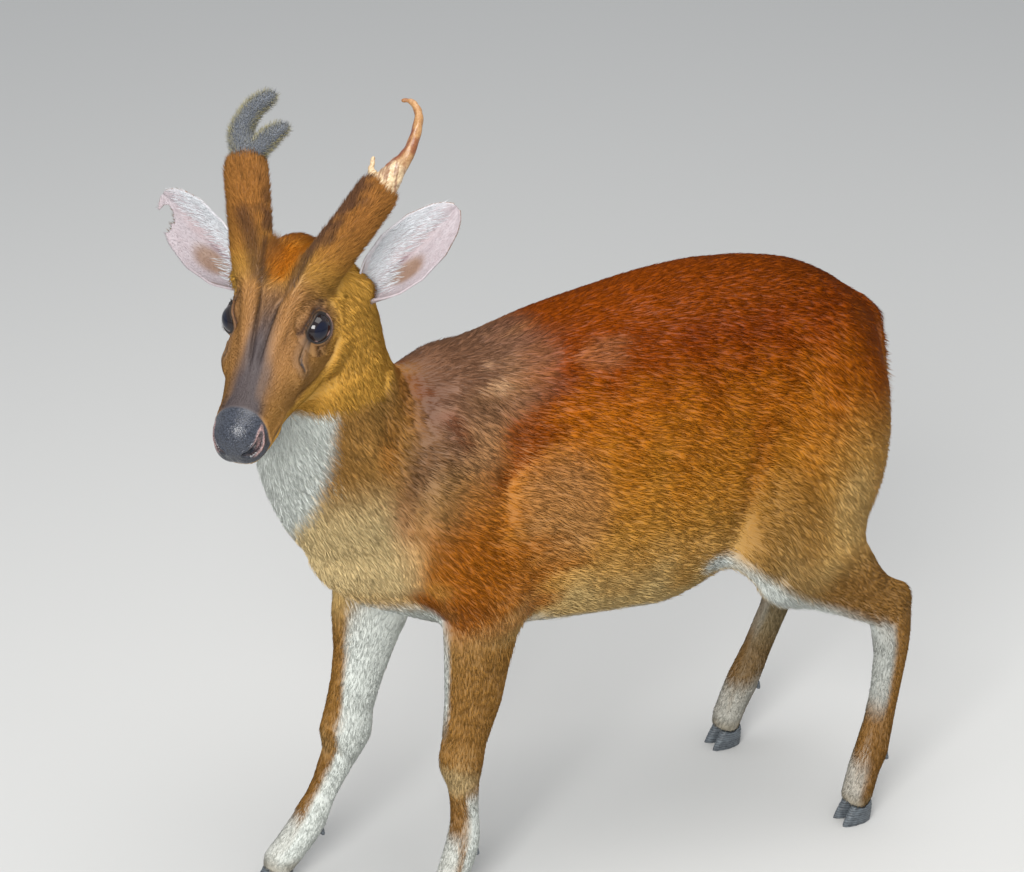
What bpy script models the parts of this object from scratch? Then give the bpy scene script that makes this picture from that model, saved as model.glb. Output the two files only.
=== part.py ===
"""A life-size muntjac buck, standing on four feet with its head turned to its left.

Metres, +Z up. The animal faces +X and its left side is +Y. The flesh is built as one
smooth body from tapered tubes, then parted with thin cuts into named pieces. Ears, eyes,
antlers, hooves and dewclaws are pieces of their own. Last, everything is moved so that
the origin lies on the floor under the middle of the whole animal.
"""

import math

import bmesh
import bpy
import numpy as np
from mathutils import Matrix, Vector

# Driving dimensions
GAP = 0.0003  # left between pieces that touch
BULK_VOXEL = 0.006  # grid on which trunk, neck, shoulders and thighs melt together
FLESH_VOXEL = 0.0021  # grid on which head and legs join them
FLESH_TRIANGLES = 7800  # of the whole flesh, before it is parted
FACE_FAVOUR = 0.02  # how much denser the face stays when faces are removed
HEAD_SCALE = 1.06  # of a head whose eyes lie 0.102 behind the nose
HEAD_AT = Vector((0.364, 0.061, 0.637))  # midway between the eyes
HEAD_YAW, HEAD_PITCH = math.radians(49.3), math.radians(22.3)
EYE_RADIUS = 0.0142
EYE_AT = Vector((-0.003, 0.0320, 0.0105))  # of the left eye, in the head's own frame
LID_BULGE = 0.0036  # of the lids' mass beyond the eyeball
LID_OPENING = (0.0131, 0.0117)  # half length and half height of the gap between the lids
EAR_THICKNESS = 0.0028
CLAW_WIDTH, CLAW_HEIGHT = 0.0135, 0.030

# Colours, as linear red, green and blue
RUST = (0.33, 0.10, 0.022)
TAN = (0.36, 0.17, 0.055)
WHITE_HAIR = (0.62, 0.58, 0.52)
HORN_BLACK = (0.035, 0.033, 0.035)
BONE = (0.55, 0.36, 0.17)
VELVET = (0.13, 0.115, 0.075)
EYE_BLACK = (0.012, 0.010, 0.012)


def start_empty():
    for old in list(bpy.data.objects):
        bpy.data.objects.remove(old, do_unlink=True)


def material(name, colour, roughness):
    made = bpy.data.materials.new(name)
    made.use_nodes = True
    shader = made.node_tree.nodes["Principled BSDF"]
    shader.inputs["Base Color"].default_value = (*colour, 1.0)
    shader.inputs["Roughness"].default_value = roughness
    shader.inputs["Metallic"].default_value = 0.0
    return made


def linked(name, bm):
    """A new object from bm, with its faces turned outwards."""
    bmesh.ops.recalc_face_normals(bm, faces=bm.faces)
    mesh = bpy.data.meshes.new(name)
    bm.to_mesh(mesh)
    bm.free()
    made = bpy.data.objects.new(name, mesh)
    bpy.context.collection.objects.link(made)
    return made


def remove(*objects):
    for old in objects:
        mesh = old.data
        bpy.data.objects.remove(old, do_unlink=True)
        bpy.data.meshes.remove(mesh)


def apply_modifiers(target):
    """Bakes the modifiers of target into its mesh."""
    graph = bpy.context.evaluated_depsgraph_get()
    mesh = bpy.data.meshes.new_from_object(target.evaluated_get(graph))
    old = target.data
    target.modifiers.clear()
    target.data = mesh
    bpy.data.meshes.remove(old)
    return target


def join(name, objects):
    """One object that holds copies of the objects' meshes, which are then removed."""
    bm = bmesh.new()
    for one in objects:
        one.data.transform(one.matrix_world)
        bm.from_mesh(one.data)
    remove(*objects)
    mesh = bpy.data.meshes.new(name)
    bm.to_mesh(mesh)
    bm.free()
    made = bpy.data.objects.new(name, mesh)
    bpy.context.collection.objects.link(made)
    return made


def melt(name, objects, voxel, smoothing):
    """Joins closed shapes into one skin on a grid and smooths the creases between them."""
    made = join(name, objects)
    remesh = made.modifiers.new("melt", "REMESH")
    remesh.mode = "VOXEL"
    remesh.voxel_size = voxel
    smooth = made.modifiers.new("soften", "SMOOTH")
    smooth.factor = 0.5
    smooth.iterations = smoothing
    return apply_modifiers(made)


def surfaces(bm):
    """The closed surfaces that a mesh holds, each as a set of vertices, smallest first."""
    unseen, found = set(bm.verts), []
    while unseen:
        start = unseen.pop()
        shell, edge = {start}, [start]
        while edge:
            vert = edge.pop()
            for link in vert.link_edges:
                other = link.other_vert(vert)
                if other in unseen:
                    unseen.discard(other)
                    shell.add(other)
                    edge.append(other)
        found.append(shell)
    return sorted(found, key=len)


def keep_surface(target, choose):
    """Leaves only the closed surface of target that choose picks from them all."""
    bm = bmesh.new()
    bm.from_mesh(target.data)
    kept = choose(surfaces(bm))
    others = [vert for vert in bm.verts if vert not in kept]
    bmesh.ops.delete(bm, geom=others, context="VERTS")
    bm.to_mesh(target.data)
    bm.free()
    return target


def keep_largest(target):
    return keep_surface(target, lambda found: found[-1])


def boolean(target, cutter, operation, solver="EXACT"):
    change = target.modifiers.new(operation.lower(), "BOOLEAN")
    change.operation = operation
    change.object = cutter
    change.solver = solver
    return apply_modifiers(target)


def copy_of(source, name):
    made = bpy.data.objects.new(name, source.data.copy())
    bpy.context.collection.objects.link(made)
    return made


def curve_through(rows, steps):
    """Rows of numbers on a smooth curve through the given rows, steps for each stretch."""
    rows = np.array(rows, float)
    before, after = 2 * rows[0] - rows[1], 2 * rows[-1] - rows[-2]
    padded = np.vstack([before, rows, after])
    made = []
    for a, b, c, d in zip(padded, padded[1:], padded[2:], padded[3:]):
        for step in range(steps):
            t = step / steps
            made.append(
                0.5 * (2 * b + (c - a) * t + (2 * a - 5 * b + 4 * c - d) * t * t)
                + 0.5 * (3 * b - a - 3 * c + d) * t**3
            )
    made.append(rows[-1])
    return np.array(made)


def tube(name, rows, sides=20, steps=5, square_to=None, squareness=1.0):
    """A closed tapered tube along rows of (x, y, z, upper, lower, side, yaw in degrees).

    Upper is the reach towards the animal's back on a part that runs forwards, and
    towards its front on a leg that runs down. Yaw turns the sideways axis about Z.
    With square_to, all rings lie square to that one direction.
    """
    stations = curve_through(rows, steps)
    middles = stations[:, :3]
    along = np.gradient(middles, axis=0)
    if square_to is not None:
        along = np.tile(square_to, (len(stations), 1))
    bm = bmesh.new()
    bmesh.ops.create_grid(
        bm, x_segments=sides, y_segments=len(stations) - 1, size=0.5
    )
    for vert in bm.verts:
        turn = 2 * math.pi * (vert.co.x + 0.5)
        at = round((vert.co.y + 0.5) * (len(stations) - 1))
        upper, lower, side, yaw = stations[at, 3:7]
        tangent = Vector(along[at]).normalized()
        sideways = Vector((-math.sin(math.radians(yaw)), math.cos(math.radians(yaw)), 0))
        sideways = (sideways - sideways.dot(tangent) * tangent).normalized()
        up = tangent.cross(sideways)
        rise = math.cos(turn)
        out = math.sin(turn)
        reach = upper if rise > 0 else lower
        vert.co = (
            Vector(middles[at])
            + up * reach * math.copysign(abs(rise) ** squareness, rise)
            + sideways * side * math.copysign(abs(out) ** squareness, out)
        )
    bmesh.ops.remove_doubles(bm, verts=bm.verts, dist=1e-6)
    open_edges = [edge for edge in bm.edges if edge.is_boundary]
    bmesh.ops.holes_fill(bm, edges=open_edges, sides=0)
    return linked(name, bm)


def ellipsoid(name, middle, radii, turn=None, segments=24):
    bm = bmesh.new()
    shape = Matrix.Translation(middle)
    if turn is not None:
        shape = shape @ turn.to_4x4()
    shape = shape @ Matrix.Diagonal((*radii, 1.0))
    bmesh.ops.create_uvsphere(
        bm, u_segments=segments, v_segments=segments // 2, radius=1.0, matrix=shape
    )
    return linked(name, bm)


def box(name, low, high, place=None):
    """A box between two corners, carried by the matrix place."""
    low, high = Vector(low), Vector(high)
    bm = bmesh.new()
    shape = Matrix.Translation((low + high) / 2) @ Matrix.Diagonal((*(high - low), 1.0))
    bmesh.ops.create_cube(bm, size=1.0, matrix=(place or Matrix()) @ shape)
    return linked(name, bm)


def mirrored(rows, side):
    """The rows of a left-hand tube for the given side, 1 for left and -1 for right."""
    return [(row[0], row[1] * side, *row[2:]) for row in rows]


# The head's own frame: x to the nose, y to its left, z to the crown
HEAD_TURN = (
    Matrix.Rotation(HEAD_YAW, 4, "Z") @ Matrix.Rotation(HEAD_PITCH, 4, "Y")
)
HEAD = Matrix.Translation(HEAD_AT) @ HEAD_TURN @ Matrix.Scale(HEAD_SCALE, 4)


def carried(target, place):
    """Moves a mesh by a matrix and returns it."""
    target.data.transform(place)
    return target


# Trunk and neck


def trunk():
    """Rump, barrel and chest, with rings square to the spine."""
    rows = [
        (-0.264, 0, 0.470, 0.030, 0.050, 0.026, 0),
        (-0.252, 0, 0.466, 0.072, 0.085, 0.058, 0),
        (-0.225, 0, 0.460, 0.104, 0.118, 0.086, 0),
        (-0.190, 0, 0.455, 0.129, 0.135, 0.100, 0),
        (-0.147, 0, 0.450, 0.146, 0.145, 0.106, 0),
        (-0.085, 0, 0.440, 0.163, 0.152, 0.109, 0),
        (-0.025, 0, 0.430, 0.170, 0.165, 0.113, 0),
        (0.035, 0, 0.425, 0.166, 0.155, 0.113, 0),
        (0.090, 0, 0.420, 0.163, 0.147, 0.106, 0),
        (0.150, 0, 0.420, 0.149, 0.143, 0.094, 0),
        (0.200, 0, 0.422, 0.138, 0.132, 0.084, 0),
        (0.250, 0, 0.425, 0.112, 0.112, 0.073, 0),
        (0.290, 0, 0.420, 0.078, 0.085, 0.058, 0),
        (0.318, 0, 0.414, 0.040, 0.050, 0.034, 0),
    ]
    return tube("trunk", rows, sides=28, square_to=(1.0, 0.0, 0.0), squareness=0.94)


def neck():
    rows = [
        (0.180, 0, 0.440, 0.090, 0.120, 0.076, 0),
        (0.240, 0, 0.470, 0.082, 0.118, 0.078, 4),
        (0.279, 0.003, 0.515, 0.066, 0.101, 0.067, 14),
        (0.302, 0.008, 0.575, 0.056, 0.080, 0.061, 28),
        (0.314, 0.014, 0.625, 0.057, 0.068, 0.061, 40),
        (0.325, 0.022, 0.662, 0.048, 0.056, 0.056, 49),
    ]
    return tube("neck", rows, sides=24)


def shoulder(side):
    """Shoulder blade and upper arm, from the withers to the elbow."""
    rows = [
        (0.165, 0.030, 0.545, 0.030, 0.034, 0.022, 0),
        (0.180, 0.048, 0.500, 0.052, 0.050, 0.032, 0),
        (0.200, 0.060, 0.445, 0.058, 0.062, 0.036, 0),
        (0.198, 0.066, 0.395, 0.056, 0.064, 0.036, 0),
        (0.176, 0.067, 0.350, 0.048, 0.052, 0.032, 0),
        (0.165, 0.066, 0.305, 0.038, 0.036, 0.027, 0),
    ]
    return tube("shoulder", mirrored(rows, side))


def thigh(side):
    """Haunch and thigh, from the croup down past the stifle."""
    rows = [
        (-0.185, 0.046, 0.545, 0.050, 0.040, 0.034, 0),
        (-0.178, 0.056, 0.500, 0.078, 0.070, 0.046, 0),
        (-0.174, 0.064, 0.450, 0.090, 0.080, 0.050, 0),
        (-0.168, 0.070, 0.400, 0.096, 0.080, 0.048, 0),
        (-0.164, 0.077, 0.352, 0.092, 0.068, 0.042, 0),
        (-0.180, 0.083, 0.312, 0.068, 0.050, 0.034, 0),
    ]
    return tube("thigh", mirrored(rows, side))


def tail():
    """Hangs between the buttocks, flat and broad."""
    rows = [
        (-0.236, 0, 0.540, 0.016, 0.014, 0.016, 0),
        (-0.262, 0, 0.522, 0.013, 0.011, 0.019, 0),
        (-0.274, 0, 0.485, 0.010, 0.009, 0.022, 0),
        (-0.277, 0, 0.440, 0.009, 0.008, 0.021, 0),
        (-0.275, 0, 0.395, 0.007, 0.007, 0.015, 0),
        (-0.272, 0, 0.362, 0.004, 0.004, 0.006, 0),
    ]
    return tube("tail", rows, sides=16)


# Legs: rows from the top down, front reach, back reach and half-width in each

FORELEGS = {
    "left": [
        (0.172, 0.064, 0.330, 0.044, 0.042, 0.028, 0),
        (0.178, 0.061, 0.285, 0.036, 0.036, 0.025, 0),
        (0.180, 0.058, 0.235, 0.032, 0.029, 0.022, 0),
        (0.188, 0.056, 0.190, 0.026, 0.022, 0.0195, 0),
        (0.193, 0.055, 0.162, 0.025, 0.023, 0.020, 0),
        (0.192, 0.054, 0.140, 0.018, 0.018, 0.0165, 0),
        (0.190, 0.053, 0.105, 0.0145, 0.0145, 0.0135, 0),
        (0.191, 0.052, 0.072, 0.0165, 0.0170, 0.0160, 0),
        (0.197, 0.051, 0.050, 0.0160, 0.0165, 0.0165, 0),
        (0.203, 0.051, 0.031, 0.0155, 0.0170, 0.0165, 0),
        (0.206, 0.051, 0.019, 0.0120, 0.0155, 0.0150, 0),
    ],
    "right": [
        (0.195, -0.064, 0.345, 0.075, 0.046, 0.029, 0),
        (0.228, -0.060, 0.290, 0.052, 0.040, 0.026, 0),
        (0.247, -0.056, 0.235, 0.032, 0.030, 0.022, 0),
        (0.262, -0.052, 0.187, 0.026, 0.025, 0.0195, 0),
        (0.268, -0.050, 0.158, 0.030, 0.027, 0.0205, 0),
        (0.276, -0.050, 0.134, 0.020, 0.020, 0.0170, 0),
        (0.293, -0.049, 0.100, 0.0150, 0.0150, 0.0140, 0),
        (0.311, -0.048, 0.068, 0.0165, 0.0170, 0.0160, 0),
        (0.327, -0.048, 0.047, 0.0160, 0.0165, 0.0165, 0),
        (0.342, -0.048, 0.031, 0.0155, 0.0170, 0.0165, 0),
        (0.350, -0.048, 0.019, 0.0120, 0.0155, 0.0150, 0),
    ],
}
HINDLEGS = {
    "left": [
        (-0.138, 0.078, 0.354, 0.048, 0.050, 0.030, 0),
        (-0.160, 0.083, 0.328, 0.070, 0.058, 0.036, 0),
        (-0.190, 0.086, 0.300, 0.053, 0.042, 0.032, 0),
        (-0.222, 0.088, 0.268, 0.036, 0.027, 0.025, 0),
        (-0.250, 0.089, 0.240, 0.026, 0.024, 0.021, 0),
        (-0.258, 0.089, 0.205, 0.0210, 0.0190, 0.0185, 0),
        (-0.256, 0.089, 0.165, 0.0165, 0.0165, 0.0150, 0),
        (-0.250, 0.089, 0.120, 0.0155, 0.0160, 0.0140, 0),
        (-0.243, 0.089, 0.085, 0.0170, 0.0190, 0.0160, 0),
        (-0.235, 0.089, 0.060, 0.0160, 0.0175, 0.0160, 0),
        (-0.228, 0.089, 0.033, 0.0150, 0.0170, 0.0162, 0),
        (-0.224, 0.089, 0.020, 0.0120, 0.0155, 0.0148, 0),
    ],
    "right": [
        (-0.128, -0.078, 0.354, 0.048, 0.050, 0.030, 0),
        (-0.150, -0.083, 0.328, 0.070, 0.058, 0.036, 0),
        (-0.180, -0.086, 0.300, 0.053, 0.042, 0.032, 0),
        (-0.212, -0.088, 0.265, 0.036, 0.027, 0.025, 0),
        (-0.238, -0.090, 0.235, 0.026, 0.024, 0.021, 0),
        (-0.242, -0.091, 0.200, 0.0210, 0.0190, 0.0185, 0),
        (-0.232, -0.092, 0.160, 0.0165, 0.0165, 0.0150, 0),
        (-0.214, -0.093, 0.115, 0.0155, 0.0160, 0.0140, 0),
        (-0.198, -0.093, 0.080, 0.0170, 0.0190, 0.0160, 0),
        (-0.187, -0.093, 0.056, 0.0160, 0.0175, 0.0160, 0),
        (-0.178, -0.093, 0.033, 0.0150, 0.0170, 0.0162, 0),
        (-0.174, -0.093, 0.020, 0.0120, 0.0155, 0.0148, 0),
    ],
}


def heel(side):
    """The point of the hock, which stands out behind the joint."""
    x, y, z = HINDLEGS[side][4][:3]
    rows = [
        (x + 0.020, y, z + 0.030, 0.012, 0.012, 0.011, 0),
        (x - 0.010, y, z + 0.018, 0.013, 0.012, 0.0125, 0),
        (x - 0.016, y, z + 0.004, 0.012, 0.011, 0.012, 0),
        (x - 0.008, y, z - 0.030, 0.010, 0.010, 0.010, 0),
    ]
    return tube("heel", rows, sides=16)


# Head


def skull():
    """The long wedge of the head, from the back of the jaw to the nose."""
    rows = [
        (-0.088, 0, -0.004, 0.034, 0.042, 0.040, 0),
        (-0.062, 0, -0.004, 0.042, 0.058, 0.048, 0),
        (-0.034, 0, -0.004, 0.044, 0.065, 0.049, 0),
        (-0.006, 0, -0.006, 0.043, 0.060, 0.043, 0),
        (0.022, 0, -0.008, 0.037, 0.050, 0.038, 0),
        (0.050, 0, -0.010, 0.030, 0.038, 0.0290, 0),
        (0.076, 0, -0.011, 0.026, 0.029, 0.0240, 0),
        (0.096, 0, -0.011, 0.024, 0.025, 0.0225, 0),
        (0.109, 0, -0.010, 0.013, 0.017, 0.0150, 0),
    ]
    return tube("skull", rows, sides=24, square_to=(1.0, 0.0, 0.0), squareness=0.92)


def face_masses():
    """Cheeks, brows, lips, nose pad and the two ridges, which melt into the skull."""
    made = [
        ellipsoid("nose pad", (0.102, 0, -0.012), (0.0180, 0.0215, 0.0232)),
        ellipsoid("chin", (0.074, 0, -0.032), (0.029, 0.014, 0.0115)),
        ellipsoid("crown", (-0.052, 0, 0.028), (0.034, 0.026, 0.020)),
    ]
    for side in (1, -1):
        eye = EYE_AT * Vector((1, side, 1))
        made += [
            ellipsoid("cheek", (-0.032, 0.031 * side, -0.036), (0.044, 0.018, 0.032)),
            ellipsoid("gland", (0.026, 0.026 * side, -0.004), (0.022, 0.012, 0.016)),
            ellipsoid("brow", (-0.010, 0.027 * side, 0.020), (0.026, 0.013, 0.011)),
            ellipsoid("lids", eye, [EYE_RADIUS / HEAD_SCALE + LID_BULGE] * 3),
            ellipsoid("lip", (0.079, 0.012 * side, -0.021), (0.024, 0.012, 0.013)),
            tube("ear root", mirrored(EAR_ROOT, side), sides=16),
            tube("ridge", mirrored(RIDGE, side), sides=14),
        ]
    return made


RIDGE = [
    (0.050, 0.0085, 0.0140, 0.006, 0.006, 0.006, 0),
    (0.022, 0.0130, 0.0240, 0.008, 0.008, 0.008, 0),
    (-0.008, 0.0190, 0.0335, 0.010, 0.010, 0.010, 0),
    (-0.034, 0.0260, 0.0400, 0.014, 0.014, 0.013, 0),
]
EAR_ROOT = [
    (-0.054, 0.024, 0.002, 0.020, 0.020, 0.020, 0),
    (-0.061, 0.039, 0.000, 0.019, 0.020, 0.019, 0),
    (-0.065, 0.051, -0.003, 0.015, 0.016, 0.015, 0),
    (-0.069, 0.060, 0.000, 0.010, 0.010, 0.010, 0),
]
PEDICLES = {
    "left": [
        (-0.024, 0.020, 0.028, 0.018, 0.018, 0.018, 0),
        (-0.0423, 0.0366, 0.0471, 0.0180, 0.0180, 0.0180, 0),
        (-0.0715, 0.0569, 0.0674, 0.0170, 0.0170, 0.0170, 0),
        (-0.0880, 0.0672, 0.0790, 0.0175, 0.0175, 0.0175, 0),
        (-0.0960, 0.0720, 0.0845, 0.0150, 0.0150, 0.0150, 0),
    ],
    "right": [
        (-0.024, -0.018, 0.028, 0.018, 0.018, 0.018, 0),
        (-0.0389, -0.0250, 0.0447, 0.0180, 0.0180, 0.0180, 0),
        (-0.0547, -0.0303, 0.0557, 0.0175, 0.0175, 0.0175, 0),
        (-0.0817, -0.0383, 0.0745, 0.0175, 0.0175, 0.0175, 0),
        (-0.0990, -0.0435, 0.0865, 0.0180, 0.0180, 0.0180, 0),
        (-0.1060, -0.0460, 0.0915, 0.0150, 0.0150, 0.0150, 0),
    ],
}


def head_masses():
    made = [skull(), *face_masses()]
    made += [tube("pedicle", rows, sides=16) for rows in PEDICLES.values()]
    return [carried(one, HEAD) for one in made]


def flesh():
    """All that fur covers, as one smooth closed skin of few triangles."""
    bulk = [trunk(), neck()]
    bulk += [make(side) for make in (shoulder, thigh) for side in (1, -1)]
    bulk = melt("bulk", bulk, BULK_VOXEL, 22)
    legs = [*FORELEGS.values(), *HINDLEGS.values()]
    limbs = [tube("leg", rows, steps=6) for rows in legs]
    limbs += [heel(side) for side in HINDLEGS]
    body = melt("flesh", [bulk, tail(), *limbs, *head_masses()], FLESH_VOXEL, 7)
    away = body.vertex_groups.new(name="away from the face")
    for vert in body.data.vertices:
        ahead, _, above = HEAD.inverted() @ vert.co
        far = max(0.0, -ahead - 0.045, -above - 0.055)
        away.add([vert.index], min(1.0, 0.35 + 22 * far), "REPLACE")
    thin = body.modifiers.new("fewer faces", "DECIMATE")
    thin.ratio = FLESH_TRIANGLES / (2 * len(body.data.polygons))
    thin.vertex_group = away.name
    thin.vertex_group_factor = FACE_FAVOUR
    apply_modifiers(body)
    body.vertex_groups.clear()
    return body


# Grooves of the face: rows of (x, y, z, radius) in the head's own frame


def snapped(target, points):
    """World points moved onto the nearest place of the target's surface."""
    return [target.closest_point_on_mesh(point)[1] for point in points]


def groove(target, name, rows, steps=2):
    """A cutter along head-frame rows of (x, y, z, radius), laid on the target's surface."""
    rows = curve_through(rows, steps)
    points = snapped(target, [HEAD @ Vector(row[:3]) for row in rows])
    laid = [(*point, *[row[3]] * 3, 0) for point, row in zip(points, rows)]
    return tube(name, laid, sides=7, steps=1)


MOUTH = [
    (0.062, 0.040, -0.033, 0.0010),
    (0.072, 0.036, -0.029, 0.0015),
    (0.094, 0.030, -0.027, 0.0015),
    (0.116, 0.014, -0.028, 0.0014),
    (0.124, 0.000, -0.028, 0.0014),
]
NOSTRIL = [
    (0.122, 0.0070, -0.014, 0.0024),
    (0.119, 0.0130, -0.015, 0.0046),
    (0.114, 0.0200, -0.010, 0.0044),
    (0.108, 0.0250, -0.002, 0.0028),
    (0.101, 0.0250, 0.005, 0.0011),
]
GLAND_SLIT = [
    (0.013, 0.045, 0.008, 0.0016),
    (0.019, 0.045, 0.006, 0.0030),
    (0.027, 0.045, 0.003, 0.0024),
    (0.035, 0.045, -0.001, 0.0011),
]
FRONTAL_FOLD = [
    (0.052, 0.0045, 0.030, 0.0008),
    (0.030, 0.0065, 0.040, 0.0014),
    (0.004, 0.0095, 0.050, 0.0016),
    (-0.020, 0.0135, 0.060, 0.0011),
]


def face_cutters(target):
    """Mouth line, nostrils, gland slits and the folds of the forehead."""
    around = MOUTH + [(x, -y, z, r) for x, y, z, r in MOUTH[-2::-1]]
    made = [groove(target, "mouth", around)]
    for side in (1, -1):
        for name, rows in (
            ("nostril", NOSTRIL),
            ("gland slit", GLAND_SLIT),
            ("fold", FRONTAL_FOLD),
        ):
            made.append(groove(target, name, [(x, y * side, z, r) for x, y, z, r in rows]))
    return made


def eye_place(side):
    """The frame of an eye: Z looks out of it and X runs to its inner corner."""
    out = Vector((0.55, 0.72 * side, 0.42)).normalized()
    inward = Vector((0.86, -0.30 * side, -0.42))
    inward = (inward - inward.dot(out) * out).normalized()
    turn = Matrix((inward, out.cross(inward), out)).transposed()
    middle = HEAD @ (EYE_AT * Vector((1, side, 1)))
    return Matrix.Translation(middle) @ (HEAD_TURN.to_3x3() @ turn).to_4x4()


def eye_cutters(side):
    """The round socket, and the almond opening between the lids."""
    place = eye_place(side)
    socket = ellipsoid("socket", (0, 0, 0), [EYE_RADIUS + GAP] * 3, segments=20)
    bm = bmesh.new()
    bmesh.ops.create_cone(
        bm, cap_ends=True, segments=20, radius1=1.0, radius2=1.0, depth=0.030,
        matrix=Matrix.Translation((0, 0, 0.019)),
    )
    for vert in bm.verts:
        turn = math.atan2(vert.co.y, vert.co.x)
        flare = 1.0 + 14.0 * max(vert.co.z - 0.02, 0)
        rise = math.copysign(abs(math.sin(turn)) ** 1.25, math.sin(turn))
        vert.co.x = LID_OPENING[0] * math.cos(turn) * flare
        vert.co.y = LID_OPENING[1] * rise * flare
    opening = linked("lid opening", bm)
    return [carried(socket, place), carried(opening, place)]


def eye(name, side):
    place = eye_place(side)
    return carried(ellipsoid(name, (0, 0, 0), [EYE_RADIUS] * 3, segments=16), place)


# Ears: base, tip and width of each in the head's own frame
EARS = {
    "left": ((-0.0765, 0.0610, -0.0075), (-0.1165, 0.1205, 0.0455), 0.050),
    "right": ((-0.0745, -0.0555, -0.0110), (-0.1085, -0.1340, 0.0345), 0.056),
}
EAR_FACES = Vector((0.825, 0, 0.565))  # where both cups open
EAR_OUTLINE = (  # along the ear: how wide it is, and how far its edges curl up
    (0.00, 0.56, 120),
    (0.20, 0.80, 92),
    (0.45, 1.00, 66),
    (0.70, 0.93, 48),
    (0.88, 0.64, 38),
    (1.00, 0.22, 30),
)
# Bite out of the right ear's edge: middle and radii
TEAR = ((-0.0990, -0.1290, 0.0180), (0.0120, 0.0085, 0.0120))


def ear(name, base, tip, width):
    """A leaf that is rolled to a tube at its base and opens to a shallow cup."""
    base, tip = HEAD @ Vector(base), HEAD @ Vector(tip)
    lengthwise = (tip - base).normalized()
    faces = HEAD_TURN.to_3x3() @ EAR_FACES
    faces = (faces - faces.dot(lengthwise) * lengthwise).normalized()
    across = lengthwise.cross(faces)
    stations, widths, curls = zip(*EAR_OUTLINE)
    bm = bmesh.new()
    bmesh.ops.create_grid(bm, x_segments=7, y_segments=9, size=0.5)
    for vert in bm.verts:
        u, v = vert.co.y + 0.5, 2 * vert.co.x
        curl = math.radians(np.interp(u, stations, curls))
        chord = width * np.interp(u, stations, widths)
        radius = 0.5 * chord / math.sin(min(curl, math.pi / 2))
        rise = radius * (1 - math.cos(v * curl)) - 0.010 * u * u - 0.004
        vert.co = (
            base
            + lengthwise * (tip - base).length * u
            + across * radius * math.sin(v * curl)
            + faces * rise
        )
    bmesh.ops.recalc_face_normals(bm, faces=bm.faces)
    bmesh.ops.solidify(bm, geom=bm.faces[:], thickness=EAR_THICKNESS)
    return linked(name, bm)


ANTLER_BEAMS = {
    "left": [
        (-0.0890, 0.0680, 0.0795, 0.0115, 0.0115, 0.0115, 0),
        (-0.0985, 0.0755, 0.0860, 0.0110, 0.0110, 0.0110, 0),
        (-0.1090, 0.0835, 0.0945, 0.0078, 0.0078, 0.0078, 0),
        (-0.1186, 0.0907, 0.1022, 0.0052, 0.0052, 0.0052, 0),
        (-0.1338, 0.0950, 0.1145, 0.0041, 0.0041, 0.0041, 0),
        (-0.1434, 0.0940, 0.1223, 0.0035, 0.0035, 0.0035, 0),
        (-0.1497, 0.0870, 0.1277, 0.0025, 0.0025, 0.0025, 0),
        (-0.1500, 0.0790, 0.1278, 0.0012, 0.0012, 0.0012, 0),
    ],
    "right": [
        (-0.0990, -0.0425, 0.0865, 0.0120, 0.0120, 0.0120, 0),
        (-0.1110, -0.0470, 0.0955, 0.0105, 0.0105, 0.0105, 0),
        (-0.1216, -0.0521, 0.1041, 0.0086, 0.0086, 0.0086, 0),
        (-0.1361, -0.0444, 0.1158, 0.0072, 0.0072, 0.0072, 0),
        (-0.1430, -0.0350, 0.1213, 0.0062, 0.0062, 0.0062, 0),
        (-0.1450, -0.0290, 0.1230, 0.0040, 0.0040, 0.0040, 0),
    ],
}
ANTLER_TINES = {
    "left": [
        (-0.0900, 0.0610, 0.0795, 0.0036, 0.0036, 0.0036, 0),
        (-0.1020, 0.0605, 0.0890, 0.0027, 0.0027, 0.0027, 0),
        (-0.1133, 0.0620, 0.0980, 0.0009, 0.0009, 0.0009, 0),
    ],
    "right": [
        (-0.1060, -0.0420, 0.0915, 0.0080, 0.0080, 0.0080, 0),
        (-0.1135, -0.0340, 0.0976, 0.0082, 0.0082, 0.0082, 0),
        (-0.1205, -0.0262, 0.1032, 0.0074, 0.0074, 0.0074, 0),
        (-0.1248, -0.0190, 0.1066, 0.0056, 0.0056, 0.0056, 0),
        (-0.1268, -0.0125, 0.1080, 0.0026, 0.0026, 0.0026, 0),
    ],
}

# Hooves


def claw(name, middle, side, yaw):
    """One half of a cloven hoof: a wedge with a pointed toe and a flat sole."""
    x, y = middle
    out = Vector((-math.sin(math.radians(yaw)), math.cos(math.radians(yaw)), 0)) * side
    at = Vector((x, y, 0)) + out * (CLAW_WIDTH / 2 + 0.0008)
    half = CLAW_WIDTH / 2
    rows = [
        (at.x - 0.006, at.y, CLAW_HEIGHT, 0.007, 0.009, 0.78 * half, yaw),
        (at.x - 0.005, at.y, 0.66 * CLAW_HEIGHT, 0.013, 0.013, 0.97 * half, yaw),
        (at.x - 0.003, at.y, 0.30 * CLAW_HEIGHT, 0.017, 0.015, half, yaw),
        (at.x - 0.002, at.y, 0.0, 0.020, 0.015, 0.96 * half, yaw),
    ]
    return tube(name, rows, sides=10, steps=1, square_to=(0.0, 0.0, -1.0))


def dewclaw(name, leg, side):
    """A small horn cone behind the fetlock."""
    x, y, z, _, back = leg[-4][:5]
    rows = [
        (x - back + 0.010, y + 0.008 * side, z - 0.006, 0.004, 0.004, 0.0045, 0),
        (x - back + 0.004, y + 0.009 * side, z - 0.011, 0.004, 0.004, 0.0045, 0),
        (x - back + 0.001, y + 0.009 * side, z - 0.018, 0.0022, 0.0022, 0.0026, 0),
    ]
    return tube(name, rows, sides=7, steps=1)


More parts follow.
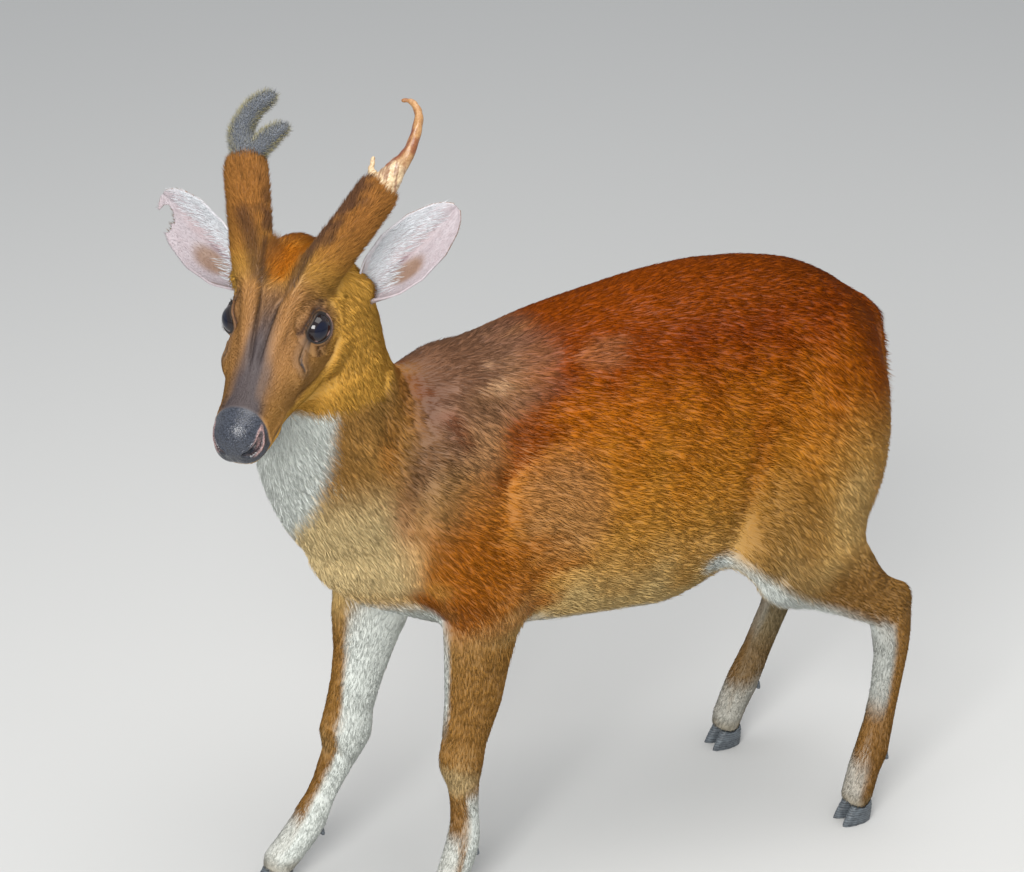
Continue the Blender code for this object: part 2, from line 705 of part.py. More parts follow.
def toe_cleft(leg):
    """Splits the toes at the front of a foot."""
    x, y, z = leg[-1][:3]
    place = Matrix.Translation((x + 0.012, y, z))
    return box("cleft", (-0.030, -0.0009, -0.030), (0.030, 0.0009, 0.018), place)


def fitted(piece, neighbour_grown):
    """Trims a piece where it would enter a neighbour that was grown by the gap."""
    return keep_largest(boolean(piece, neighbour_grown, "DIFFERENCE"))


def grown(source, name, amount):
    """A copy of source with its surface moved outwards."""
    made = copy_of(source, name)
    bm = bmesh.new()
    bm.from_mesh(made.data)
    bm.normal_update()
    for vert, normal in [(vert, vert.normal.copy()) for vert in bm.verts]:
        vert.co += normal * amount
    bm.to_mesh(made.data)
    bm.free()
    return made


# Cuts that part the flesh: middle, direction through the cut, and half its breadth


def kerf(middle, through, half):
    """A plate as thin as the gap, which saws through whatever it crosses."""
    turn = Vector(through).to_track_quat("Z", "Y").to_matrix().to_4x4()
    place = Matrix.Translation(middle) @ turn
    return box("kerf", (-half, -half, -GAP / 2), (half, half, GAP / 2), place)


def leg_cuts(leg, names, levels):
    """Level cuts across one leg, and a place inside each piece below them."""
    low_first = np.array(leg)[::-1]
    cuts, places = [], {}
    for name, top, bottom in zip(names, levels, (*levels[1:], leg[-1][2])):
        x, y = (np.interp(top, low_first[:, 2], low_first[:, axis]) for axis in (0, 1))
        half = 0.105 if top == levels[0] else 0.040
        if top == levels[0]:
            y = math.copysign(0.020 + half, y)
        cuts.append(kerf((x, y, top), (0, 0, 1), half))
        level = (top + bottom) / 2
        places[name] = Vector(
            [np.interp(level, low_first[:, 2], low_first[:, axis]) for axis in (0, 1, 2)]
        )
    return cuts, places


def head_cuts():
    """Cuts below the head, at the foot of the neck and at the foot of each pedicle."""
    cuts = [
        kerf((0.300, 0.010, 0.622), (0.62, 0.26, 0.95), 0.118),
        kerf((0.262, 0, 0.518), (0.46, 0, 0.89), 0.122),
    ]
    places = {
        "head": HEAD @ Vector((-0.010, 0, -0.006)),
        "neck": Vector((0.285, 0.006, 0.560)),
        "torso": Vector((0, 0, 0.43)),
    }
    for side, rows in PEDICLES.items():
        low, high = HEAD @ Vector(rows[1][:3]), HEAD @ Vector(rows[3][:3])
        cuts.append(kerf(low.lerp(high, 0.34), high - low, 0.032))
        places[f"pedicle_{side}"] = low.lerp(high, 0.7)
    return cuts, places


# Blocks taken whole out of the trunk: corners low and high of the left-hand one
SHOULDER_BLOCK = ((-0.085, 0.022, -0.45), (0.085, 0.20, 0.0))
THIGH_BLOCK = ((-0.130, 0.024, -0.45), (0.115, 0.20, 0.0))
TAIL_BLOCK = ((-0.060, -0.0236, -0.20), (0.0, 0.0236, 0.018))
TAIL_ROOT = (-0.2635, 0, 0.535)


def block(name, corners, side, place, spread):
    """The block on one side, larger or smaller all round by spread."""
    (x0, y0, z0), (x1, y1, z1) = corners
    if side < 0:
        y0, y1 = -y1, -y0
    low = Vector((x0, y0, z0)) - Vector((spread,) * 3)
    high = Vector((x1, y1, z1)) + Vector((spread,) * 3)
    return box(name, low, high, place)


def take_out(whole, name, corners, side, place):
    """Moves what lies in a block out of whole, into an object of its own."""
    inside = block("inside", corners, side, place, -GAP / 2)
    outside = block("outside", corners, side, place, GAP / 2)
    taken = boolean(copy_of(whole, name), inside, "INTERSECT")
    boolean(whole, outside, "DIFFERENCE")
    remove(inside, outside)
    return taken


def leg_axis(top, bottom):
    """A frame at the top of a leg whose Z runs up along the leg."""
    along = Vector(top) - Vector(bottom)
    tilt = math.atan2(along.x, along.z)
    return Matrix.Translation(top) @ Matrix.Rotation(tilt, 4, "Y")


def fall_apart(whole, cuts, places):
    """Cuts whole, and names each closed surface after the place that lies in it."""
    for cut in cuts:
        boolean(whole, cut, "DIFFERENCE")
    remove(*cuts)
    made = {}
    for name, place in places.items():

        def distance(shell):
            return min((vert.co - place).length for vert in shell)

        made[name] = keep_surface(copy_of(whole, name), lambda found: min(found, key=distance))
    remove(whole)
    return made


# Leg blocks: corners, side, the leg's top and foot, and its pieces
LEG_BLOCKS = {
    "foreleg_left": (SHOULDER_BLOCK, 1, FORELEGS["left"], (0.190, 0, 0.405), (0.205, 0, 0)),
    "foreleg_right": (SHOULDER_BLOCK, -1, FORELEGS["right"], (0.180, 0, 0.405), (0.345, 0, 0)),
    "hindleg_left": (THIGH_BLOCK, 1, HINDLEGS["left"], (-0.160, 0, 0.430), (-0.195, 0, 0)),
    "hindleg_right": (THIGH_BLOCK, -1, HINDLEGS["right"], (-0.160, 0, 0.430), (-0.175, 0, 0)),
}
LEG_PIECES = {
    "foreleg": (("shoulder", "forearm", "cannon", "pastern"), (0.262, 0.157, 0.066)),
    "hindleg": (("thigh", "gaskin", "cannon", "pastern"), (0.296, 0.214, 0.084)),
}


def build():
    start_empty()
    whole = flesh()
    cutters = face_cutters(whole) + eye_cutters(1) + eye_cutters(-1)
    cutters += [toe_cleft(leg) for legs in (FORELEGS, HINDLEGS) for leg in legs.values()]
    for one in cutters:
        boolean(whole, one, "DIFFERENCE", "MANIFOLD" if one.name == "mouth" else "EXACT")
    remove(*cutters)
    keep_largest(whole)
    near = grown(whole, "flesh with its gap", GAP)
    pieces = {}

    bite = carried(ellipsoid("bite", *TEAR, segments=10), HEAD)
    for side in EARS:
        cup = ear(f"ear_{side}", *EARS[side])
        if side == "right":
            boolean(cup, bite, "DIFFERENCE")
        pieces[cup.name] = fitted(cup, near)
        beam = tube(f"antler_{side}_beam", ANTLER_BEAMS[side], sides=9, steps=2)
        beam = fitted(carried(beam, HEAD), near)
        beam_near = grown(beam, "beam with its gap", GAP)
        tine = tube(f"antler_{side}_tine", ANTLER_TINES[side], sides=7, steps=2)
        tine = fitted(fitted(carried(tine, HEAD), near), beam_near)
        remove(beam_near)
        pieces[beam.name], pieces[tine.name] = beam, tine
    for side, word in ((1, "left"), (-1, "right")):
        pieces[f"eye_{word}"] = eye(f"eye_{word}", side)
    for legs, word in ((FORELEGS, "fore"), (HINDLEGS, "hind")):
        for side, leg in legs.items():
            for toe in (1, -1):
                which = "outer" if toe * leg[0][1] > 0 else "inner"
                hoof = claw(f"hoof_{word}_{side}_{which}", leg[-1][:2], toe, 5 * toe)
                pieces[hoof.name] = fitted(hoof, near)
                spur = dewclaw(f"dewclaw_{word}_{side}_{which}", leg, toe)
                pieces[spur.name] = fitted(spur, near)
    remove(near, bite)

    for word, (corners, side, leg, top, foot) in LEG_BLOCKS.items():
        taken = take_out(whole, word, corners, side, leg_axis(top, foot))
        names, levels = LEG_PIECES[word.split("_")[0]]
        cuts, places = leg_cuts(leg, [f"{word}_{name}" for name in names[1:]], levels)
        places[f"{word}_{names[0]}"] = Vector((leg[0][0], leg[0][1], 0.36))
        pieces.update(fall_apart(taken, cuts, places))
    tail_piece = take_out(whole, "tail", TAIL_BLOCK, 1, Matrix.Translation(TAIL_ROOT))
    pieces["tail"] = keep_largest(tail_piece)
    pieces.update(fall_apart(whole, *head_cuts()))
    return pieces


def dress(pieces):
    """Gives every piece a material of its own and one common origin on the floor."""
    looks = {
        "ear": (WHITE_HAIR, 0.8),
        "eye": (EYE_BLACK, 0.05),
        "hoof": (HORN_BLACK, 0.45),
        "dewclaw": (HORN_BLACK, 0.5),
        "antler_left": (BONE, 0.5),
        "antler_right": (VELVET, 0.85),
        "head": (TAN, 0.8),
        "neck": (TAN, 0.8),
    }
    corners = np.array([vert.co for piece in pieces.values() for vert in piece.data.vertices])
    low, high = corners.min(axis=0), corners.max(axis=0)
    shift = Matrix.Translation((-(low[0] + high[0]) / 2, -(low[1] + high[1]) / 2, -low[2]))
    for name, piece in pieces.items():
        piece.name = name
        piece.data.name = name
        piece.data.transform(shift)
        key = next((word for word in looks if name.startswith(word)), None)
        colour, roughness = looks.get(key, (RUST, 0.8))
        piece.data.materials.clear()
        piece.data.materials.append(material(name, colour, roughness))


dress(build())
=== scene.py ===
"""A life-size muntjac buck with its hide, hair, eyes, ears, antlers and hooves."""

import math

import bmesh
import bpy
import numpy as np
from mathutils import Matrix, Vector


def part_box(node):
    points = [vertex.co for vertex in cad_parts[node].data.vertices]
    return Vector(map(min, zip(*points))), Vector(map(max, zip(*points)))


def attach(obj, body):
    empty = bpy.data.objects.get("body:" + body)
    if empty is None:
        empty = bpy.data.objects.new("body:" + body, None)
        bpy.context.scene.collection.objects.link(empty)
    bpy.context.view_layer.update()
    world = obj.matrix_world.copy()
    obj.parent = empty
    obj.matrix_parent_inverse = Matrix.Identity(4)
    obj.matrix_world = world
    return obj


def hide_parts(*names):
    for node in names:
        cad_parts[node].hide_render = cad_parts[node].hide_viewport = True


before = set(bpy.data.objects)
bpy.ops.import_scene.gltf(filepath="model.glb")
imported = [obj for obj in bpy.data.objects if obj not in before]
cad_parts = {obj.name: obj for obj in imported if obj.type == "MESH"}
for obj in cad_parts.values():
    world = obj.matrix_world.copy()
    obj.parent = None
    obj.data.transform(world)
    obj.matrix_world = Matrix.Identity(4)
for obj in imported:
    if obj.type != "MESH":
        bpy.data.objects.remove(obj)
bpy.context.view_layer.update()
chance = np.random.default_rng(41)


# The hide
# One skin, tight on skull and shins and slack at throat and flanks, grown whole over the
# flesh. It lies under the flesh solids' surface by the depth of the hair that covers it.

FLESH = sorted(
    node
    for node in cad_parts
    if not node.startswith(("ear_", "eye_", "antler_", "hoof_", "dewclaw_"))
)
SEAM_CLOSING = 0.0004
HIDE_GRID = 0.0022
HIDE_SMOOTHING = 56  # rounds, each weighted by what a run wears
HIDE_TRIANGLES = 186000
EYE_RADIUS = 0.0142

HEAD_SCALE, HEAD_YAW, HEAD_PITCH = 1.06, math.radians(49.3), math.radians(22.3)
HEAD_AT = Vector((0.364, 0.061, 0.637))  # in the frame that the landmarks are given in
EYE_AT = Vector((-0.003, 0.0320, 0.0105))
head_turn = Matrix.Rotation(HEAD_YAW, 4, "Z") @ Matrix.Rotation(HEAD_PITCH, 4, "Y")


def middle_of(node):
    low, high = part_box(node)
    return (low + high) / 2


# The head's own frame: x to the nose, y to its left, z to the crown
head = (
    Matrix.Translation((middle_of("eye_left") + middle_of("eye_right")) / 2)
    @ head_turn
    @ Matrix.Scale(HEAD_SCALE, 4)
    @ Matrix.Translation((-EYE_AT.x, 0, -EYE_AT.z))
)
stand = Matrix.Translation(head.translation - HEAD_AT)  # the body's frame

LEG_RUNS = {
    "fore_left": ((0.172, 0.064, 0.330), (0.180, 0.058, 0.235), (0.192, 0.054, 0.145),
                  (0.191, 0.052, 0.072), (0.206, 0.051, 0.019)),
    "fore_right": ((0.195, -0.064, 0.345), (0.247, -0.056, 0.235), (0.270, -0.050, 0.150),
                   (0.311, -0.048, 0.068), (0.350, -0.048, 0.019)),
    "hind_left": ((-0.150, 0.083, 0.340), (-0.222, 0.088, 0.268), (-0.250, 0.089, 0.240),
                  (-0.243, 0.089, 0.085), (-0.224, 0.089, 0.020)),
    "hind_right": ((-0.140, -0.083, 0.340), (-0.212, -0.088, 0.265), (-0.238, -0.090, 0.235),
                   (-0.198, -0.093, 0.080), (-0.174, -0.093, 0.020)),
}
PEDICLE_RUNS = {
    "left": ((-0.034, 0.028, 0.036), (-0.0715, 0.0569, 0.0674), (-0.0960, 0.0720, 0.0845)),
    "right": ((-0.032, -0.022, 0.036), (-0.0700, -0.0350, 0.0660), (-0.1060, -0.0460, 0.0915)),
}
# What each run of the body wears: (smoothing of the hide, depth, hair length, hair breadth,
# rise in degrees, hairs on a square metre), with depth, length and breadth in millimetres
TRUNK_WEAR = (1.00, 2.2, 15.0, 1.05, 4.5, 270e3)
NECK_WEAR = (0.80, 2.2, 13.0, 0.92, 5.5, 296e3)
LIMB_WEAR = (0.50, 1.7, 10.0, 0.86, 5, 385e3)
SHANK_WEAR = (0.22, 1.1, 7.5, 0.66, 5, 540e3)
FOOT_WEAR = (0.20, 1.1, 6.5, 0.62, 7, 640e3)
TAIL_WEAR = (0.15, 2.2, 20.0, 1.10, 10, 600e3)
SKULL_WEAR = (0.20, 1.1, 6.5, 0.52, 5, 1150e3)
FACE_WEAR = (0.06, 0.7, 4.0, 0.42, 6, 1900e3)
JAW_WEAR = (0.08, 0.8, 5.2, 0.45, 4.5, 1500e3)
PEDICLE_WEAR = (0.20, 2.0, 9.5, 0.60, 20, 1050e3)


def body_runs():
    """Runs of the body: part, start, end, girth, lie of the hair and what it wears."""
    runs = [
        ("barrel", (0.150, 0, 0.435), (-0.090, 0, 0.450), 0.150, (-1, 0, -0.42), TRUNK_WEAR),
        ("rump", (-0.090, 0, 0.455), (-0.215, 0, 0.462), 0.140, (-1, 0, -0.60), TRUNK_WEAR),
        ("neck", (0.285, 0, 0.425), (0.210, 0, 0.410), 0.110, (-0.7, 0, -1), NECK_WEAR),
        ("neck", (0.318, 0.018, 0.640), (0.268, 0, 0.500), 0.072, (-0.42, -0.1, -1), NECK_WEAR),
        ("tail", (-0.262, 0, 0.522), (-0.272, 0, 0.362), 0.020, (-0.05, 0, -1), TAIL_WEAR),
    ]
    for side in (1, -1):
        runs += [
            ("shoulders", (0.175, 0.045 * side, 0.520), (0.185, 0.066 * side, 0.370), 0.052,
             (-0.75, 0, -1), TRUNK_WEAR),
            ("thighs", (-0.180, 0.056 * side, 0.500), (-0.164, 0.077 * side, 0.352), 0.075,
             (-0.7, 0, -1), TRUNK_WEAR),
        ]
    for name, points in LEG_RUNS.items():
        girths = (0.042, 0.030, 0.020, 0.021) if "fore" in name else (0.050, 0.030, 0.021, 0.021)
        wears = (LIMB_WEAR, LIMB_WEAR, SHANK_WEAR, FOOT_WEAR)
        for start, end, girth, wear in zip(points, points[1:], girths, wears):
            lie = (Vector(end) - Vector(start)).normalized() + Vector((-0.1, 0, 0))
            runs.append((name.replace("_", "leg_"), start, end, girth, lie, wear))
    placed = [
        (part, stand @ Vector(start), stand @ Vector(end), girth, Vector(lie), wear)
        for part, start, end, girth, lie, wear in runs
    ]
    head_runs = [
        ("face", (0.105, 0, -0.010), (0.030, 0, -0.010), 0.030, Vector((-1, 0, 0)), FACE_WEAR),
        ("face", (0.030, 0, -0.010), (-0.025, 0, -0.010), 0.045, Vector((-1, 0, 0.05)), FACE_WEAR),
        ("head", (-0.035, 0, -0.010), (-0.075, 0, -0.008), 0.052, Vector((-1, 0, -0.15)),
         SKULL_WEAR),
        ("head", (0.040, 0, -0.040), (-0.050, 0, -0.050), 0.032, Vector((-1, 0, -0.10)), JAW_WEAR),
    ]
    for points in PEDICLE_RUNS.values():
        for start, end in zip(points, points[1:]):
            lie = (Vector(end) - Vector(start)).normalized()
            head_runs.append(("pedicles", start, end, 0.019, lie, PEDICLE_WEAR))
    turned = head_turn.to_3x3()
    return placed + [
        (part, head @ Vector(start), head @ Vector(end), girth, turned @ lie, wear)
        for part, start, end, girth, lie, wear in head_runs
    ]


PARTS, STARTS, ENDS, GIRTHS, LIES, WEARS = zip(*body_runs())
PARTS = np.array(PARTS)


def reach_of(points, start, end):
    """How far points lie from a straight run, and how far along it."""
    start, along = np.array(start), np.array(end) - np.array(start)
    share = np.clip((points - start) @ along / (along @ along), 0, 1)
    return np.linalg.norm(points - start - share[:, None] * along, axis=1), share


def nearness(points):
    """How much each run has to say at each point, adding up to one."""
    weights = np.array(
        [
            (girth / (reach_of(points, start, end)[0] + 0.002)) ** 8
            for start, end, girth in zip(STARTS, ENDS, GIRTHS)
        ]
    ).T
    return weights / weights.sum(axis=1, keepdims=True)


def say_of(part, weights):
    """What the runs of one part have to say together."""
    return weights[:, PARTS == part].sum(axis=1)


def wear_at(points):
    """Smoothing, depth, length, breadth, rise and density of the coat, and its lie."""
    weights = nearness(points)
    wear = weights @ np.array(WEARS)
    lie = weights @ np.array([tuple(lie.normalized()) for lie in LIES])
    wear[:, 1:4] /= 1000
    return wear, lie / np.linalg.norm(lie, axis=1, keepdims=True)


def step(value, low, high):
    """0 below low, 1 above high and smooth between them."""
    share = np.clip((value - low) / (high - low), 0, 1)
    return share * share * (3 - 2 * share)


def bell(away, breadth):
    """1 where away is nothing, falling softly to 0 past a breadth or two."""
    return np.exp(-((away / breadth) ** 2))


def inside(points, place):
    """World points in the frame of a matrix."""
    back = np.array(place.inverted())
    return points @ back[:3, :3].T + back[:3, 3]


def smooth_curve(rows, steps=8):
    """Rows of numbers on a smooth curve through the given rows."""
    rows = np.array(rows, float)
    padded = np.vstack([2 * rows[0] - rows[1], rows, 2 * rows[-1] - rows[-2]])
    made = []
    for a, b, c, d in zip(padded, padded[1:], padded[2:], padded[3:]):
        for t in np.arange(steps) / steps:
            made.append(
                0.5 * (2 * b + (c - a) * t + (2 * a - 5 * b + 4 * c - d) * t * t)
                + 0.5 * (3 * b - a - 3 * c + d) * t**3
            )
    return np.array([*made, rows[-1]])


def off_curve(points, rows):
    """Distance of points from a curve, share along it and its fourth number there."""
    curve = smooth_curve(rows)
    best = np.full(len(points), 1e9)
    share, fourth = np.zeros(len(points)), np.zeros(len(points))
    for number, (a, b) in enumerate(zip(curve, curve[1:])):
        distance, along = reach_of(points, a[:3], b[:3])
        closer = distance < best
        best[closer] = distance[closer]
        share[closer] = (number + along[closer]) / (len(curve) - 1)
        if len(a) > 3:
            fourth[closer] = (a[3] + (b[3] - a[3]) * along)[closer]
    return best, share, fourth


def linked(name, shape):
    """A new object from a mesh or a bmesh."""
    mesh = shape
    if isinstance(shape, bmesh.types.BMesh):
        mesh = bpy.data.meshes.new(name)
        shape.to_mesh(mesh)
        shape.free()
    made = bpy.data.objects.new(name, mesh)
    bpy.context.scene.collection.objects.link(made)
    return made


def with_modifiers(target):
    """Bakes the modifiers of target into its mesh."""
    graph = bpy.context.evaluated_depsgraph_get()
    mesh = bpy.data.meshes.new_from_object(target.evaluated_get(graph))
    old = target.data
    target.modifiers.clear()
    target.data = mesh
    bpy.data.meshes.remove(old)
    mesh.name = target.name
    return target


def solid_copy(name, nodes, grow=0.0, spheres=()):
    """Closed copies of CAD nodes in one object, grown by a little, with spheres added."""
    bm = bmesh.new()
    for node in nodes:
        bm.from_mesh(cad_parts[node].data)
    bmesh.ops.remove_doubles(bm, verts=bm.verts, dist=1e-5)
    bm.normal_update()
    for vert, normal in [(vert, vert.normal.copy()) for vert in bm.verts]:
        vert.co += normal * grow
    for place, radius in spheres:
        bmesh.ops.create_uvsphere(
            bm, u_segments=40, v_segments=24, radius=radius, matrix=Matrix.Translation(place)
        )
    return linked(name, bm)


def melted(target, grid):
    remesh = target.modifiers.new("one closed surface", "REMESH")
    remesh.mode = "VOXEL"
    remesh.voxel_size = grid
    return with_modifiers(target)


def points_of(mesh):
    points = np.empty(len(mesh.vertices) * 3)
    mesh.vertices.foreach_get("co", points)
    return points.reshape(-1, 3)


def normals_of(mesh):
    normals = np.empty(len(mesh.vertices) * 3)
    mesh.vertex_normals.foreach_get("vector", normals)
    return normals.reshape(-1, 3)


def put_points(mesh, points):
    mesh.vertices.foreach_set("co", points.ravel())
    mesh.update()


def relaxed(mesh, weights, rounds):
    """Draws each vertex towards the middle of its neighbours, by its own weight."""
    points = points_of(mesh)
    edges = np.empty(len(mesh.edges) * 2, np.int32)
    mesh.edges.foreach_get("vertices", edges)
    a, b = edges.reshape(-1, 2).T
    count = len(points)
    neighbours = np.bincount(a, minlength=count) + np.bincount(b, minlength=count)
    for _ in range(rounds):
        total = np.stack(
            [
                np.bincount(a, points[b, axis], count) + np.bincount(b, points[a, axis], count)
                for axis in range(3)
            ],
            axis=1,
        )
        points += 0.5 * weights[:, None] * (total / neighbours[:, None] - points)
    put_points(mesh, points)


def eye_place(side):
    """The frame of an eye: Z looks out of it and X runs to its inner corner."""
    out = Vector((0.55, 0.72 * side, 0.42)).normalized()
    inward = Vector((0.86, -0.30 * side, -0.42))
    inward = (inward - inward.dot(out) * out).normalized()
    turn = Matrix((inward, out.cross(inward), out)).transposed()
    middle = head @ (EYE_AT * Vector((1, side, 1)))
    return Matrix.Translation(middle) @ (head_turn.to_3x3() @ turn).to_4x4()


hide = solid_copy(
    "hide", FLESH, SEAM_CLOSING, [(eye_place(s).translation, EYE_RADIUS + 0.0008) for s in (1, -1)]
)
melted(hide, HIDE_GRID)
wear, _ = wear_at(points_of(hide.data))
relaxed(hide.data, wear[:, 0], HIDE_SMOOTHING)
points = points_of(hide.data)
in_head = inside(points, head)
bare_nose = step(in_head[:, 0], 0.088, 0.098) * (np.abs(in_head[:, 1]) < 0.04)
depth = wear[:, 1] * (1 - bare_nose) * (0.35 + 0.65 * step(points[:, 2], 0.02, 0.05))
put_points(hide.data, points - normals_of(hide.data) * depth[:, None])


def finer_where(target, wanted):
    """Splits the faces of target whose vertices are all wanted into four."""
    bm = bmesh.new()
    bm.from_mesh(target.data)
    chosen = [edge for edge in bm.edges if all(wanted[vert.index] for vert in edge.verts)]
    bmesh.ops.subdivide_edges(bm, edges=chosen, cuts=1, use_grid_fill=True, smooth=0.6)
    bm.to_mesh(target.data)
    bm.free()
    target.data.update()


LID_GAP = (0.0140, 0.0092, 0.0116)  # half length, height above and height below, along the ball
LID_SHIFT = 0.0016  # how far the gap lies behind the eye's middle
LID_SQUARENESS, LID_ROUNDNESS = (3.4, 2.4), 2.4  # the upper lid is straighter than the lower


def eye_measure(points, side):
    """Height over the eyeball's middle, and how far outside the gap between the lids."""
    u, v, w = inside(points, eye_place(side)).T
    radius = np.maximum(np.sqrt(u * u + v * v + w * w), 1e-6)
    arc = EYE_RADIUS * np.arccos(np.clip(w / radius, -1, 1)) / np.maximum(np.hypot(u, v), 1e-6)
    upper = v * side < 0
    half_height = np.where(upper, LID_GAP[1], LID_GAP[2])
    along = u * arc + LID_SHIFT
    form = (np.abs(along) / LID_GAP[0]) ** np.where(upper, *LID_SQUARENESS)
    form += (np.abs(v * arc) / half_height) ** LID_ROUNDNESS
    return radius, (form**0.4 - 1) * 0.0100, upper


in_head = inside(points_of(hide.data), head)
face = (in_head[:, 0] > -0.05) & (np.abs(in_head[:, 1]) < 0.06) & (np.abs(in_head[:, 2]) < 0.085)
finer_where(hide, face)
points = points_of(hide.data)
in_head = inside(points, head)
keen = in_head[:, 0] > 0.082
for side in (1, -1):
    radius, outside, _ = eye_measure(points, side)
    keen |= (outside < 0.0085) & (radius < EYE_RADIUS + 0.009)
finer_where(hide, keen & (np.abs(in_head[:, 1]) < 0.06) & (in_head[:, 2] > -0.06))
in_head = inside(points_of(hide.data), head)
relaxed(hide.data, np.where((in_head[:, 0] > -0.055) & (in_head[:, 2] > -0.08), 1.0, 0.0), 6)

# Lines of the face: (x, y, z, half-breadth) in the head's frame
LIPS = [
    (0.066, 0.0298, -0.0272, 0.0010),
    (0.073, 0.0288, -0.0240, 0.0012),
    (0.087, 0.0255, -0.0205, 0.0013),
    (0.100, 0.0195, -0.0215, 0.0013),
    (0.111, 0.0110, -0.0252, 0.0012),
    (0.116, 0.0000, -0.0270, 0.0012),
]
NOSTRIL = [
    (0.1180, 0.0090, -0.0125, 0.0026),
    (0.1150, 0.0135, -0.0120, 0.0042),
    (0.1100, 0.0185, -0.0070, 0.0038),
    (0.1040, 0.0215, 0.0000, 0.0022),
    (0.0985, 0.0220, 0.0045, 0.0010),
]
GLAND_SLIT = [
    (0.0140, 0.0345, 0.0150, 0.0007),
    (0.0185, 0.0330, 0.0151, 0.0010),
    (0.0257, 0.0322, 0.0119, 0.0011),
    (0.0329, 0.0316, 0.0090, 0.0008),
    (0.0364, 0.0340, 0.0010, 0.0005),
]
FACE_CREST = [
    (-0.0178, 0.0456, -0.0095, 0.002),
    (-0.0090, 0.0440, -0.0190, 0.003),
    (0.0035, 0.0408, -0.0252, 0.003),
    (0.0213, 0.0362, -0.0250, 0.003),
    (0.0412, 0.0316, -0.0205, 0.003),
    (0.0560, 0.0275, -0.0200, 0.002),
]
FOLDS = {
    1: [
        (0.0680, 0.0026, 0.0142, 0.0008),
        (0.0560, 0.0032, 0.0180, 0.0010),
        (0.0480, 0.0036, 0.0205, 0.0010),
        (0.0440, 0.0037, 0.0216, 0.0012),
        (0.0229, 0.0051, 0.0286, 0.0016),
        (0.0122, 0.0066, 0.0322, 0.0018),
        (0.0011, 0.0082, 0.0354, 0.0018),
        (-0.0078, 0.0132, 0.0413, 0.0018),
        (-0.0179, 0.0178, 0.0461, 0.0018),
        (-0.0287, 0.0229, 0.0548, 0.0016),
        (-0.0345, 0.0280, 0.0600, 0.0012),
    ],
    -1: [
        (0.0680, -0.0028, 0.0142, 0.0008),
        (0.0560, -0.0034, 0.0180, 0.0010),
        (0.0480, -0.0038, 0.0203, 0.0010),
        (0.0449, -0.0038, 0.0213, 0.0012),
        (0.0280, -0.0057, 0.0273, 0.0016),
        (0.0106, -0.0076, 0.0331, 0.0018),
        (-0.0073, -0.0103, 0.0383, 0.0018),
        (-0.0212, -0.0125, 0.0477, 0.0018),
        (-0.0323, -0.0126, 0.0554, 0.0016),
        (-0.0458, -0.0125, 0.0587, 0.0012),
    ],
}
# Shorter wrinkles over the brows and in front of the ears
BROW_LINES = [
    [(-0.004, 0.0230, 0.0345), (-0.014, 0.0260, 0.0395), (-0.026, 0.0300, 0.0430)],
    [(-0.002, -0.0190, 0.0360), (-0.014, -0.0210, 0.0420), (-0.028, -0.0230, 0.0480)],
    [(0.004, -0.0240, 0.0300), (-0.010, -0.0270, 0.0370), (-0.022, -0.0290, 0.0420)],
    [(0.030, 0.0180, 0.0230), (0.016, 0.0200, 0.0280), (0.006, 0.0215, 0.0300)],
]


def on_side(rows, side):
    return [(row[0], row[1] * side, *row[2:]) for row in rows]


# The mouth runs on the skin itself, at the points nearest to the line of the lips
in_head = inside(points_of(hide.data), head)
MOUTH = [
    (*in_head[np.linalg.norm(in_head - row[:3], axis=1).argmin()], row[3]) for row in LIPS
]


